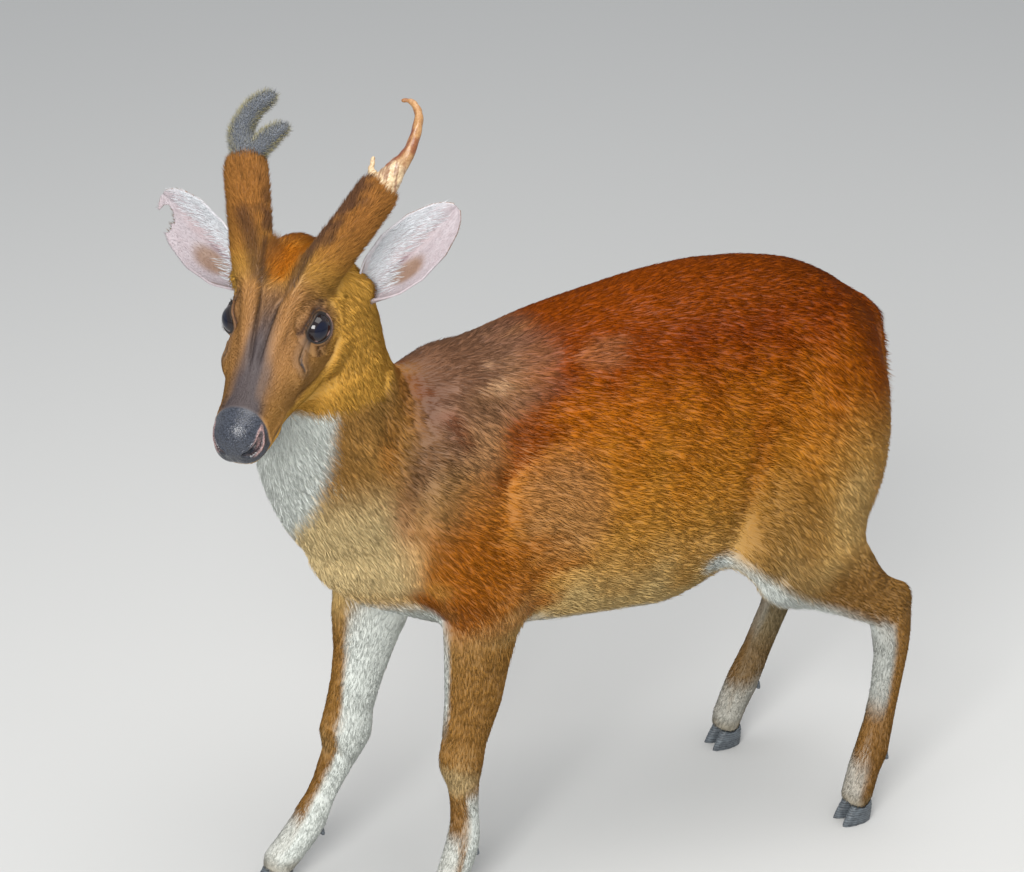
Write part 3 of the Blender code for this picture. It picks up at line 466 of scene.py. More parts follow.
def face_relief(points):
    """How far the folds, lips and nostrils lift or sink the skin, in metres."""
    at = inside(points, head)
    lift = np.zeros(len(at))
    for side in (1, -1):
        away, share, _ = off_curve(at, on_side(MOUTH, side))
        away *= HEAD_SCALE
        lift -= 0.0024 * bell(away, 0.0013)
        over = at[:, 2] > np.interp(at[:, 0], (0.066, 0.087, 0.116), (-0.0272, -0.0205, -0.0265))
        fade = step(share, 0, 0.3) * step(np.abs(at[:, 1]), 0.002, 0.012)
        lift += 0.0016 * bell(away - 0.0050, 0.0035) * fade * over
        lift += 0.0010 * bell(away - 0.0040, 0.0025) * fade * ~over
        away, _, breadth = off_curve(at, on_side(NOSTRIL, side))
        edge = away * HEAD_SCALE - breadth
        lift -= 0.0060 * step(-edge, -0.0006, 0.0022)
        lift += 0.0010 * bell(edge - 0.0016, 0.0013)
        away, _, breadth = off_curve(at, on_side(GLAND_SLIT, side))
        lift -= 0.0026 * bell(away, np.maximum(breadth, 1e-4)) * (breadth > 0)
        lift += 0.0004 * bell(away - 0.0030, 0.0018)
        away, share, _ = off_curve(at, FOLDS[side])
        fade = step(share, 0, 0.36) * step(1 - share, 0, 0.10)
        lift -= 0.0018 * bell(away, 0.0013) * fade
        lift += 0.0010 * bell(away - 0.0036, 0.0022) * fade
        away, share, _ = off_curve(at, on_side(FACE_CREST, side))
        fade = step(share, 0, 0.2) * step(1 - share, 0, 0.15)
        lift -= 0.0026 * bell(away, 0.0030) * fade
        below = at[:, 2] < np.interp(at[:, 0], (-0.018, 0.0035, 0.056), (-0.0095, -0.0252, -0.020))
        lift += 0.0016 * bell(away - 0.0090, 0.0055) * fade * below
        for number in range(3):  # wrinkles behind the nostril
            start = (0.090 - 0.007 * number, 0.0235 * side, -0.004 + 0.003 * number)
            end = (0.082 - 0.007 * number, 0.0265 * side, -0.020)
            away = reach_of(at, start, end)[0]
            lift -= 0.0005 * bell(away, 0.0011)
    for rows in BROW_LINES:
        away, share, _ = off_curve(at, rows)
        lift -= 0.0008 * bell(away, 0.0014) * step(share, 0, 0.2)
    away = reach_of(at, (0.116, 0, 0.004), (0.120, 0, -0.027))[0]
    lift -= 0.0009 * bell(away, 0.0011)
    pad = step(at[:, 0], 0.0930, 0.0975)
    lift += 0.0006 * pad * step(at[:, 2], -0.03, -0.02)
    return lift


def lids_drawn(points, side):
    """Skin round an eye, laid on the eyeball as two lids with a fold over the upper one."""
    place = eye_place(side)
    radius, outside, upper = eye_measure(points, side)
    lid = EYE_RADIUS - 0.0012 + np.where(upper, 0.0032, 0.0026) * step(outside, -0.0007, 0.0006)
    lid += 0.0008 * step(outside, 0.0006, 0.0035)
    fold = np.where(upper, 0.0016, 0.0007) * bell(outside - 0.0042, 0.0009)
    plump = np.where(upper, 0.0014, 0.0008) * bell(outside - 0.0064, 0.0015)
    free = step(outside, 0.0032, 0.0095)
    wanted = lid * (1 - free) + radius * free - fold + plump
    near = (outside < 0.012) & (radius < EYE_RADIUS + 0.014) & (radius > EYE_RADIUS - 0.006)
    at = points - np.array(place.translation)
    moved = at * (wanted / np.maximum(radius, 1e-6))[:, None]
    return np.where(near[:, None], moved, at) + np.array(place.translation)


# Slack folds of the body: (x, y, z, half-breadth, depth) in the body's frame
BODY_FOLDS = [
    ([(0.140, 0.078, 0.516), (0.165, 0.090, 0.455), (0.172, 0.096, 0.390), (0.145, 0.092, 0.345)],
     0.014, 0.0016),
    ([(-0.092, 0.106, 0.470), (-0.076, 0.106, 0.400), (-0.080, 0.090, 0.335)], 0.014, 0.0018),
    ([(0.236, 0.020, 0.556), (0.226, 0.046, 0.540), (0.222, 0.062, 0.520)], 0.006, 0.0015),
    ([(0.272, 0.030, 0.585), (0.262, 0.058, 0.565), (0.262, 0.070, 0.530)], 0.008, 0.0016),
    ([(0.235, 0.085, 0.500), (0.245, 0.085, 0.450), (0.240, 0.080, 0.400)], 0.013, 0.0020),
]
points = points_of(hide.data)
normals = normals_of(hide.data)
lift = face_relief(points)
at_body = inside(points, stand)
for rows, breadth, sink in BODY_FOLDS:
    for side in (1, -1):
        away, share, _ = off_curve(at_body, on_side(rows, side))
        fade = step(share, 0, 0.25) * step(1 - share, 0, 0.25)
        lift -= sink * bell(away, breadth) * fade
points = points + normals * lift[:, None]
for side in (1, -1):
    points = lids_drawn(points, side)
put_points(hide.data, points)

# Fewer faces where the hide is plain, and all of them where the face has detail
in_head = inside(points, head)
ahead = np.clip(-in_head[:, 0] - 0.040, 0, None) + np.clip(-in_head[:, 2] - 0.070, 0, None)
ahead = np.minimum(1.0, 0.04 + 30 * ahead)
group = hide.vertex_groups.new(name="away from the face")
for level in range(1, 21):
    chosen = np.nonzero(np.ceil(ahead * 20).astype(int) == level)[0]
    group.add(chosen.tolist(), level / 20, "REPLACE")
fewer = hide.modifiers.new("fewer faces", "DECIMATE")
fewer.ratio = HIDE_TRIANGLES / sum(len(face.vertices) - 2 for face in hide.data.polygons)
fewer.vertex_group = group.name
fewer.vertex_group_factor = 0.02
with_modifiers(hide)
hide.vertex_groups.clear()


def unwrapped(target):
    """Smooths the faces of target and lays them out in the map that its colours bake to."""
    for face in target.data.polygons:
        face.use_smooth = True
    target.data.uv_layers.new(name="OFBake")
    bpy.context.view_layer.objects.active = target
    target.select_set(True)
    bpy.ops.object.mode_set(mode="EDIT")
    bpy.ops.mesh.select_all(action="SELECT")
    bpy.ops.uv.smart_project(angle_limit=math.radians(66), island_margin=0.003)
    bpy.ops.object.mode_set(mode="OBJECT")
    target.select_set(False)


unwrapped(hide)


# The markings
# A rust coat that is deepest on the back and turns to tan at the belly's edge, a greyer
# grizzled neck, a white throat, groin and inner leg, and a dark bare bridge and folds.
# Painted shade darkens the creases of neck, flank, cheek, brows and lids, the sides of the
# neck, the low chest, the far hind leg, the nostrils and the lower nose pad.


def hair_colour(red, green, blue):
    """A colour given as it looks on a screen, as linear light."""
    level = np.array((red, green, blue)) / 255
    return np.where(level <= 0.04045, level / 12.92, ((level + 0.055) / 1.055) ** 2.4)


BACK = hair_colour(114, 42, 0)
RUST = hair_colour(140, 64, 0)
SADDLE = hair_colour(172, 98, 14)
FLANK = hair_colour(182, 118, 32)
LOW_FLANK = hair_colour(188, 134, 54)
TAN = hair_colour(200, 156, 86)
BELLY_EDGE = hair_colour(204, 174, 116)
WHITE_HAIR = hair_colour(216, 220, 214)
GRIZZLE = hair_colour(170, 126, 84)
MAUVE = hair_colour(104, 72, 56)
OLIVE = hair_colour(166, 124, 66)
CREAM = hair_colour(216, 192, 142)
OCHRE = hair_colour(198, 150, 66)
FAWN = hair_colour(154, 112, 66)
BRIDGE = hair_colour(74, 65, 65)
SKIN_DARK = hair_colour(58, 46, 44)
PAD = hair_colour(58, 62, 72)
DARK_BROWN = hair_colour(78, 54, 44)
RUFOUS = hair_colour(164, 112, 56)
LEG_BROWN = hair_colour(150, 109, 53)
LEG_DARK = hair_colour(124, 87, 42)
LEG_GREY = hair_colour(132, 116, 84)
CROWN_ORANGE = hair_colour(176, 104, 22)
SCAR = hair_colour(196, 156, 118)
PINK = hair_colour(196, 158, 152)


def ripple(points, length, seed):
    """Smooth uneven patches, from -1 to 1, about one length across."""
    turned = np.random.default_rng(seed).normal(size=(5, 3))
    phases = np.random.default_rng(seed + 1).uniform(0, 2 * math.pi, 5)
    waves = np.sin(points @ (turned.T * 2.6 / length) + phases)
    return waves.mean(axis=1) * 1.6


def blot(points, middle, radii):
    """1 in the middle of a soft patch and 0 outside it."""
    away = np.linalg.norm((points - np.array(middle)) / np.array(radii), axis=1)
    return 1 - step(away, 0.45, 1.0)


def off_mark(points, rows, side, breadth):
    """1 along a soft stripe and 0 beyond its breadth."""
    away = off_curve(points, on_side(rows, side))[0]
    return 1 - step(away, 0.25 * breadth, breadth)


# How low the ochre of the head reaches, from the nape to the lips
JAW_EDGE = (
    (-0.085, -0.086), (-0.0415, -0.092), (-0.004, -0.081), (0.034, -0.062), (0.0573, -0.0480),
    (0.072, -0.036),
)
# How far round the left of the neck the white reaches in degrees, by height
WHITE_EDGE = (
    (0.400, -4), (0.4166, 8), (0.4476, 28), (0.4714, 37), (0.4930, 42), (0.5140, 47),
    (0.5348, 52), (0.5480, 56), (0.5616, 62), (0.5800, 70),
)


def bareness(h):
    """1 on the bare nose pad, for points in the head's frame."""
    pad = step(h[:, 0] + 0.25 * (h[:, 2] - 0.008), 0.0925, 0.0955) * step(h[:, 2], -0.030, -0.0255)
    return pad * (np.abs(h[:, 1]) < 0.03)


def markings(points, normals):
    """The colour of the hair at each point, with painted shade in some creases and hollows."""
    b, h = inside(points, stand), inside(points, head)
    of_head = normals @ np.array(head_turn.to_3x3())
    x, y, z = b.T
    facing_x, facing_y, facing_z = normals.T
    hx, hy, hz = h.T
    weights = nearness(points)
    of_pedicle, of_tail = say_of("pedicles", weights), say_of("tail", weights)
    uneven = ripple(points, 0.060, 3)

    def lay(mask, tint):
        nonlocal colour
        mask = np.clip(mask, 0, 1)[:, None]
        colour = colour * (1 - mask) + tint * mask

    # Trunk: rust on the back, paler down the flank, greyer over the shoulder
    high = z + 0.016 * uneven + 0.006 * ripple(points, 0.020, 4)
    heights = (0.318, 0.350, 0.395, 0.445, 0.505, 0.548, 0.590)
    bands = np.array((BELLY_EDGE, TAN, LOW_FLANK, FLANK, SADDLE, RUST, BACK))
    colour = np.stack([np.interp(high, heights, bands[:, channel]) for channel in range(3)], axis=1)
    lay(step(-x, 0.16, 0.24) * step(z, 0.43, 0.51) * 0.7, RUST)
    lay(step(-x, 0.13, 0.20) * step(-z, -0.50, -0.41) * 0.75, TAN)
    for side in (1, -1):
        lay(blot(b, (-0.120, 0.11 * side, 0.36), (0.055, 0.10, 0.095)) * 0.6, LEG_BROWN * 0.90)
        lay(blot(b, (-0.190, 0.11 * side, 0.375), (0.035, 0.10, 0.06)) * 0.5, BELLY_EDGE)
        lay(blot(b, (-0.200, 0.11 * side, 0.300), (0.050, 0.10, 0.045)) * 0.6, LEG_BROWN)
        lay(blot(b, (0.115, 0.10 * side, 0.43), (0.06, 0.08, 0.08)) * 0.55, GRIZZLE)
    under = step(-facing_z, 0.70, 0.95) * step(-z, -0.36, -0.30)
    under *= step(0.19 - np.abs(x), 0, 0.05)
    lay(under, WHITE_HAIR)

    ahead = step(x + 0.6 * (z - 0.45) + 0.010 * uneven, 0.160, 0.215)
    lay(ahead * step(z, 0.36, 0.44), GRIZZLE)
    wander = 0.030 * ripple(points * np.array((0.4, 1, 1)), 0.016, 7)
    streaked = b + wander[:, None] * np.array((1, 0, 0))
    lay(blot(streaked, (0.190, 0.0, 0.560), (0.125, 0.12, 0.085)) * 0.85, MAUVE)
    lay(step(z, 0.562, 0.582) * step(-x, -0.13, -0.09), RUST * 0.9)
    for side in (1, -1):
        lay(blot(streaked, (0.055, 0.060 * side, 0.560), (0.040, 0.030, 0.018)) * 0.3, GRIZZLE)
        lay(blot(b, (0.228, 0.066 * side, 0.500), (0.040, 0.06, 0.075)) * 0.8, MAUVE)
        lay(blot(b, (0.21, 0.10 * side, 0.43), (0.060, 0.08, 0.08)) * 0.4, TAN)
        lay(blot(streaked, (0.192, 0.10 * side, 0.372), (0.095, 0.11, 0.095)) * 0.85, SADDLE * 0.9)
        # painted shade: darker rust low on the chest behind the elbow
        lay(blot(streaked, (0.220, 0.08 * side, 0.335), (0.055, 0.08, 0.045)) * 0.45, RUST * 0.7)
    neck = step(x + 0.5 * (z - 0.5), 0.232, 0.272) * step(z, 0.40, 0.46)
    lay(neck, OLIVE)
    lay(neck * step(facing_z + 0.4 * uneven, 0.1, 0.7) * 0.4, SADDLE)
    for side in (1, -1):
        upper_arm = [(0.192, 0.094, 0.450), (0.198, 0.098, 0.410), (0.198, 0.10, 0.38)]
        lay(off_mark(b, upper_arm, side, 0.045) * 0.5, SADDLE)
        stripe = [(0.136, 0.074, 0.513), (0.148, 0.080, 0.496), (0.161, 0.086, 0.474)]
        lay(off_mark(streaked, stripe, side, 0.030) * 0.85, RUST * 0.72)
        # painted shade: darker patches along the side and back edge of the neck
        lay(blot(b, (0.262, 0.062 * side, 0.548), (0.030, 0.034, 0.045)) * 0.45, OLIVE * 0.4)
        lay(blot(b, (0.230, 0.074 * side, 0.465), (0.034, 0.050, 0.085)) * 0.35, OLIVE * 0.4)
        lay(blot(b, (0.222, 0.035 * side, 0.545), (0.034, 0.036, 0.034)) * 0.35, MAUVE * 0.5)
        # painted shade: darker lines in the creases of the neck
        for creases, breadth in (
            ([(0.224, 0.020, 0.556), (0.222, 0.036, 0.543)], 0.013),
            ([(0.206, 0.064, 0.528), (0.198, 0.074, 0.508)], 0.012),
        ):
            lay(off_mark(b, creases, side, breadth) * 0.4, BACK * 0.8)
        # painted shade: a darker line in the flank fold in front of the haunch
        lay(off_mark(b, [(-0.095, 0.106, 0.480), (-0.072, 0.104, 0.395)], side, 0.016) * 0.25, BACK)
    scar = 0.004 * ripple(points, 0.012, 5)[:, None]
    lay(blot(b + scar, (0.157, 0.053, 0.546), (0.012, 0.012, 0.009)) * 0.8, SCAR)
    lay(blot(b + scar, (0.163, 0.033, 0.558), (0.007, 0.007, 0.007)) * 0.5, SCAR)

    # Throat and chest: white in front of the neck up to the jaw, buff below it
    share = np.clip((z - 0.42) / 0.22, 0, 1)
    bearing = np.degrees(np.arctan2(y - 0.018 * share, x - 0.245 - 0.060 * share))
    edge = np.interp(z, *zip(*WHITE_EDGE)) + 5 * uneven
    chest = step(74 - np.abs(bearing - 6) + 8 * uneven, -12, 12) * step(x, 0.21, 0.25)
    lay(chest * step(-z, -0.50, -0.44) * step(z, 0.33, 0.37), CREAM)
    breast = step(x, 0.10, 0.14) * step(-z, -0.355, -0.325) * step(z, 0.285, 0.31)
    breast *= step(-facing_z, 0.15, 0.5)
    lay(breast * step(0.075 - np.abs(y), 0, 0.02), WHITE_HAIR)
    white = step(edge - bearing, -6, 6) * step(bearing + edge - 12, -10, 10)
    lay(white * (x > 0.23) * (z > 0.39), WHITE_HAIR)

    # Head: ochre down to the jaw's edge and white under it, with a dark bare bridge
    jaw = np.interp(hx, *zip(*JAW_EDGE))
    above = step(hz - jaw + 0.002 * uneven, -0.003, 0.004)
    above *= step(hx + 0.006 * uneven, -0.100, -0.078)
    above *= step(0.075 - np.abs(hy), 0, 0.01)
    lay(above, OCHRE)
    lay(above * step(hz, -0.008, 0.020) * step(hx, -0.034, -0.004), FAWN)
    lay(above * blot(h, (0.045, 0.0, -0.005), (0.045, 0.05, 0.035)) * 0.45, FAWN)
    crest = np.interp(hx, (-0.018, 0.0035, 0.056), (-0.0095, -0.0265, -0.0225))
    muzzle = step(hx, -0.02, 0.01) * step(hz - crest, -0.002, 0.004)
    lay(above * muzzle * 0.75, FAWN)
    for side in (1, -1):
        away, share, _ = off_curve(h, on_side(FACE_CREST, side))
        # painted shade: a dark band in the crease along the cheek
        lay(bell(away, 0.0028) * step(share, 0, 0.15) * step(1 - share, 0, 0.15) * 0.65, DARK_BROWN)
        # painted shade: darker lines in the brow wrinkles
        for rows in BROW_LINES if side > 0 else ():
            lay(bell(off_curve(h, rows)[0], 0.0013) * 0.35, DARK_BROWN)
    chin = step(hx, 0.050, 0.058) * step(-hz, 0.0335, 0.0365) * step(-hx, -0.085, -0.080)
    lay(chin * (hz > -0.07) * (np.abs(hy) < 0.04), WHITE_HAIR)
    broad = 0.0050 + 0.0068 * step(hx, 0.02, 0.075) + 0.004 * step(hx, 0.075, 0.095)
    bridge = step(broad - np.abs(hy) + 0.0024 * ripple(points, 0.008, 11), -0.009, 0.005)
    along = step(hz, 0.0, 0.008) * step(hx, -0.030, 0.040)
    lay(step(broad + 0.006 - np.abs(hy), -0.006, 0.006) * along * 0.45, BRIDGE)
    lay(bridge * along, BRIDGE)
    lay(above * blot(h, (-0.078, 0.0, 0.042), (0.036, 0.034, 0.030)) * 0.8, RUST * 0.8)
    lay(above * blot(h, (-0.036, 0.0, 0.048), (0.026, 0.022, 0.024)), CROWN_ORANGE)

    # Pedicles: dark brown inside and at their roots, orange-brown outside
    lay(of_pedicle * step(-hx, 0.018, 0.034), RUFOUS)
    dark = np.zeros(len(points))
    for side in (1, -1):
        inner = -of_head[:, 1] * side + (0.5 if side > 0 else -0.1) * of_head[:, 2]
        inner += (0.45 if side > 0 else 0.25) * ripple(points, 0.014, 9)
        reach = step(hy * side, 0.0, 0.006) * step(-hx, 0.024, 0.038)
        if side < 0:
            reach *= step(hx, -0.100, -0.060)
        dark = np.maximum(dark, of_pedicle * reach * step(inner, 0.25 if side > 0 else 0.5, 0.9))
    lay(dark * 0.85, DARK_BROWN)
    for side in (1, -1):
        root = [(-0.018, 0.0150, 0.044), (-0.034, 0.0210, 0.056), (-0.056, 0.0330, 0.072)]
        lay(off_mark(h, root, side, 0.010) * 0.7, DARK_BROWN)
        away, share, _ = off_curve(h, FOLDS[side])
        drawn = step(share, 0.05, 0.3) * step(1 - share, 0, 0.04)
        lay(bell(away, 0.0012 + 0.0010 * share) * drawn, SKIN_DARK * 0.8)
        lay(bell(away, 0.0050) * step(share, 0, 0.2) * step(1 - share, 0.3, 0.8) * 0.35, BRIDGE)
        away = off_curve(h, on_side(GLAND_SLIT, side))[0]
        lay((1 - step(away, 0.003, 0.011)) * 0.35, BRIDGE)
        lay(1 - step(away, 0.0010, 0.0022), SKIN_DARK * 0.6)
        radius, outside, upper = eye_measure(points, side)
        near = radius < EYE_RADIUS + 0.012
        lay(near * (1 - step(outside, 0.0060, 0.0105)) * 0.55, FAWN * 0.8)
        grey = near * bell(outside - 0.0040, 0.0020)
        lay(grey * np.where(upper, 0.65, 0.45), MAUVE)
        outer = step(-inside(points, eye_place(side))[:, 0], -0.004, 0.003)
        # painted shade: a dark line in the fold over each lid, darker over the upper one
        lay(near * bell(outside - 0.0043, 0.0007) * np.where(upper, 0.75, 0.4), SKIN_DARK)
        lay(near * (1 - step(outside, 0.0006, np.where(upper, 0.0030, 0.0012))), SKIN_DARK * 0.30)
        lay(near * ~upper * bell(outside - 0.0018, 0.0009) * outer * 0.8, PINK)
        away = off_curve(h, on_side(MOUTH, side))[0]
        lay(1 - step(away, 0.0010, 0.0024), SKIN_DARK)
    lay(bareness(h), PAD)
    # painted shade: the lower part of the nose pad darker
    lay(bareness(h) * step(-hz + 0.25 * np.abs(hy), 0.006, 0.022) * 0.6, PAD * 0.45)
    for side in (1, -1):
        away, _, breadth = off_curve(h, on_side(NOSTRIL, side))
        edge = away * HEAD_SCALE - breadth
        rim = bell(edge - 0.0012, 0.0010) * step(hy * side, 0.012, 0.019)
        lay(rim * 0.75 * bareness(h), PINK)
        # painted shade: the inside of each nostril nearly black
        lay(1 - step(edge, -0.0010, 0.0004), PINK * 0.12)

    # Legs: brown outside and in front, white inside and behind, with pale feet
    for name, rows in LEG_RUNS.items():
        side = 1 if "left" in name else -1
        on_leg = weights[:, PARTS == name.replace("_", "leg_")]
        whole, lower, shank = (on_leg[:, first:].sum(axis=1) for first in (0, 1, 2))
        lay(np.maximum(lower, whole * step(-z, -0.325, -0.295)), LEG_BROWN)
        inner = -facing_y * side + 0.15 * uneven
        if "fore" in name:
            lay(shank * step(facing_x, 0.0, 0.7) * 0.45, LEG_DARK)
            front = step(facing_x + 0.1 * uneven, 0.45, 0.70) * (side < 0)
            leading = step(0.9 * facing_x - 0.42 * facing_y * side, 0.62, 0.85)
            leading = leading * step(z, 0.185, 0.235) * (side > 0)
            lay(whole * leading, WHITE_HAIR * 0.9)
            lay(whole * step(inner, 0.05, 0.45) * step(-z, -0.40, -0.33) * (1 - front), WHITE_HAIR)
            lay(shank * step(-facing_x, -0.25, 0.05), WHITE_HAIR)
            knee = (rows[2][0] + 0.012, rows[2][1] + 0.006 * side, rows[2][2] + 0.004)
            lay(blot(b, knee, (0.032, 0.026, 0.024)) * (0.7 if side > 0 else 0.2), CREAM * 0.9)
        else:
            # the inner side of the hind legs is grey, partly its colour and partly painted shade
            lay(whole * step(inner, 0.10, 0.55) * step(-z, -0.36, -0.32), LEG_GREY)
            # painted shade: the far hind leg darker below the hock
            if side < 0:
                lay(lower * 0.6, LEG_GREY * 0.8)
            band = [(-0.052, 0.084, 0.334), (-0.080, 0.091, 0.314), (-0.115, 0.097, 0.293),
                    (-0.160, 0.094, 0.270), (-0.205, 0.088, 0.252), (-0.230, 0.086, 0.224)]
            lay(off_mark(b, band, side, 0.022) * step(facing_y * side, -0.7, -0.2), WHITE_HAIR)
            shin = step(facing_x + 0.35 * facing_y * side, 0.35, 0.70)
            shin *= step(z, 0.110, 0.150)
            # the far hind leg's shin is less white: painted shade
            lay(lower * shin * (0.95 if side > 0 else 0.35), WHITE_HAIR * 0.68)
            lay(lower * step(-z, -0.150, -0.100) * 0.5, LEG_DARK)
        foot = step(-(z + 0.010 * uneven), -0.085, -0.062)
        foot = whole * foot * step(0.9 * facing_x + 0.5 + 0.5 * inner, 0.0, 0.6)
        lay(foot * (0.85 if "fore" in name else 0.6), WHITE_HAIR)
        lay(whole * step(-z, -0.040, -0.028) * 0.55, LEG_GREY)
    groin = blot(b, (-0.105, 0.0, 0.335), (0.060, 0.090, 0.045)) * step(-facing_z, -0.1, 0.4)
    lay(groin, WHITE_HAIR)

    lay(of_tail, BACK * 1.15)
    lay(of_tail * step(facing_x, 0.2, 0.6), WHITE_HAIR)
    rear = step(-facing_x, 0.6, 0.9) * step(-z, -0.44, -0.36)
    rear *= step(0.055 - np.abs(y), 0, 0.02)
    lay(rear * (1 - of_tail) * step(-x, 0.18, 0.22), WHITE_HAIR)
    return colour


def coloured(mesh, colours):
    """Stores a colour for each vertex, which the materials read."""
    layer = mesh.color_attributes.new(name="tint", type="FLOAT_COLOR", domain="POINT")
    full = np.ones((len(colours), 4), np.float32)
    full[:, :3] = np.clip(colours, 0, 1)
    layer.data.foreach_set("color", full.ravel())


hide_points, hide_normals = points_of(hide.data), normals_of(hide.data)
coloured(hide.data, markings(hide_points, hide_normals))
wet = bareness(inside(hide_points, head))
layer = hide.data.attributes.new(name="wet", type="FLOAT", domain="POINT")
layer.data.foreach_set("value", wet.astype(np.float32))


class Flow:
    """A number or colour on its way through a material's nodes."""

    def __init__(self, look, socket):
        self.look, self.socket = look, socket

    def maths(self, operation, first, second):
        return self.look.node("ShaderNodeMath", {"operation": operation}, {0: first, 1: second})

    def __add__(self, other):
        return self.maths("ADD", self, other)

    def __radd__(self, other):
        return self.maths("ADD", other, self)

    def __sub__(self, other):
        return self.maths("SUBTRACT", self, other)

    def __rsub__(self, other):
        return self.maths("SUBTRACT", other, self)

    def __mul__(self, other):
        return self.maths("MULTIPLY", self, other)

    def __rmul__(self, other):
        return self.maths("MULTIPLY", other, self)


class Look:
    """A material in the making."""

    def __init__(self, name, **constants):
        self.material = bpy.data.materials.new(name)
        self.material.use_nodes = True
        self.tree = self.material.node_tree
        self.shader = self.tree.nodes["Principled BSDF"]
        for socket, value in constants.items():
            self.shader.inputs[self.label(socket)].default_value = value

    def node(self, kind, settings=None, sockets=None, output=0):
        """Any node: its settings first, then the values or links of its sockets."""
        made = self.tree.nodes.new(kind)
        for key, value in (settings or {}).items():
            if key == "stops":
                ramp = made.color_ramp.elements
                while len(ramp) < len(value):
                    ramp.new(0.5)
                for element, (position, tint) in zip(ramp, value):
                    element.position, element.color = position, (*tint, 1.0)
            else:
                setattr(made, key, value)
        for key, value in (sockets or {}).items():
            if isinstance(value, Flow):
                self.tree.links.new(value.socket, made.inputs[key])
            else:
                made.inputs[key].default_value = value
        return Flow(self, made.outputs[output])

    def tint(self):
        return self.node("ShaderNodeAttribute", {"attribute_name": "tint"})

    def amount(self, name):
        return self.node("ShaderNodeAttribute", {"attribute_name": name}, output=2)

    def place(self):
        return self.node("ShaderNodeTexCoord", output="Object")

    def noise(self, scale, detail=3.0, roughness=0.55, where=None):
        sockets = {"Scale": scale, "Detail": detail, "Roughness": roughness}
        sockets["Vector"] = where or self.place()
        return self.node("ShaderNodeTexNoise", {}, sockets)

    def blended(self, factor, first, second, kind="MIX"):
        settings = {"data_type": "RGBA", "blend_type": kind}
        return self.node("ShaderNodeMix", settings, {0: factor, 6: first, 7: second}, output=2)

    def ramp(self, factor, *stops):
        return self.node("ShaderNodeValToRGB", {"stops": stops}, {"Fac": factor})

    def mottled(self, amount, grain, low, high):
        """The stored tint under a grain, whose low and high are each a place and its shade."""
        shades = self.ramp(grain, *((at, np.ones(3) * shade) for at, shade in (low, high)))
        return self.blended(amount, self.tint(), shades, "MULTIPLY")

    def bump(self, height, strength, distance, under=None):
        sockets = {"Height": height, "Strength": strength, "Distance": distance}
        if under:
            sockets["Normal"] = under
        return self.node("ShaderNodeBump", {}, sockets)

    def drives(self, **flows):
        for socket, flow in flows.items():
            self.tree.links.new(flow.socket, self.shader.inputs[self.label(socket)])
        return self.material

    @staticmethod
    def label(socket):
        """The shader's own name of a socket, from its name in this script."""
        return socket.replace("_", " ").title().replace("Ior", "IOR")


def dressed(target, material, slot, *nodes):
    """Gives a finished piece its material and body, and hides the CAD nodes that it replaces. The
    slot is not used.
    """
    target.data.materials.clear()
    target.data.materials.append(material)
    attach(target, "root")
    if nodes:
        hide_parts(*nodes)


skin_look = Look("skin under the hair")
fur_grain = skin_look.noise(900.0, 4.0, 0.6)
wet = skin_look.amount("wet")
pebbles = skin_look.node(
    "ShaderNodeTexVoronoi", {}, {"Vector": skin_look.place(), "Scale": 760.0}
)
grained = skin_look.mottled(0.35, fur_grain, (0.3, 0.55), (0.7, 1.0))
# painted shade in the grooves between the nose pad's pebbles and painted light on their tops
pebbled_and_shaded = skin_look.mottled(1.0, pebbles, (0.2, 1.15), (0.75, 0.45))
skin_look.drives(
    base_color=skin_look.blended(wet, grained, pebbled_and_shaded),
    roughness=0.66 - wet * 0.53 + fur_grain * 0.06,
    normal=skin_look.bump(
        pebbles * -1.0 * wet, 0.6, 0.0004, skin_look.bump(fur_grain, 0.4, 0.0006)
    ),
)
dressed(hide, skin_look.material, "coat", *FLESH)


# The coat
# Short glossy guard hairs in small tufts that lie along the body, longest on throat, chest
# and belly edge, bristly on the pedicles and finest on face and feet.

QUICK_SHARE = 1.0
UV_PATCH = 0.0015  # size of a hair in the bake map
TUFT_FACES = ((1, 2, 3), (0, 3, 2), (0, 1, 3), (0, 2, 1))
LOCK_FACES = ((1, 2, 5), (1, 5, 4), (0, 3, 5), (0, 5, 2), (0, 1, 4), (0, 4, 3),
              (4, 5, 6), (3, 6, 5), (3, 4, 6), (0, 2, 1))


def unit(vectors):
    return vectors / np.maximum(np.linalg.norm(vectors, axis=1, keepdims=True), 1e-9)


def from_arrays(name, corners, faces, tints, places, patch):
    """One mesh of many small closed shapes of like corners and faces."""
    count, size = corners.shape[:2]
    faces = np.array(faces)
    mesh = bpy.data.meshes.new(name)
    mesh.vertices.add(count * size)
    mesh.vertices.foreach_set("co", corners.astype(np.float32).ravel())
    loops = (np.arange(count)[:, None, None] * size + faces[None]).ravel()
    mesh.loops.add(len(loops))
    mesh.loops.foreach_set("vertex_index", loops.astype(np.int32))
    mesh.polygons.add(count * len(faces))
    starts = np.arange(count * len(faces), dtype=np.int32) * 3
    mesh.polygons.foreach_set("loop_start", starts)
    mesh.polygons.foreach_set("loop_total", np.full(len(starts), 3, np.int32))
    mesh.polygons.foreach_set("use_smooth", np.ones(len(starts), bool))
    layer = mesh.uv_layers.new(name="OFBake")
    spread = places[:, None] + patch[None]
    layer.data.foreach_set("uv", spread[:, faces.ravel()].astype(np.float32).ravel())
    mesh.update(calc_edges=True)
    coloured(mesh, tints.reshape(-1, 3))
    return linked(name, mesh)


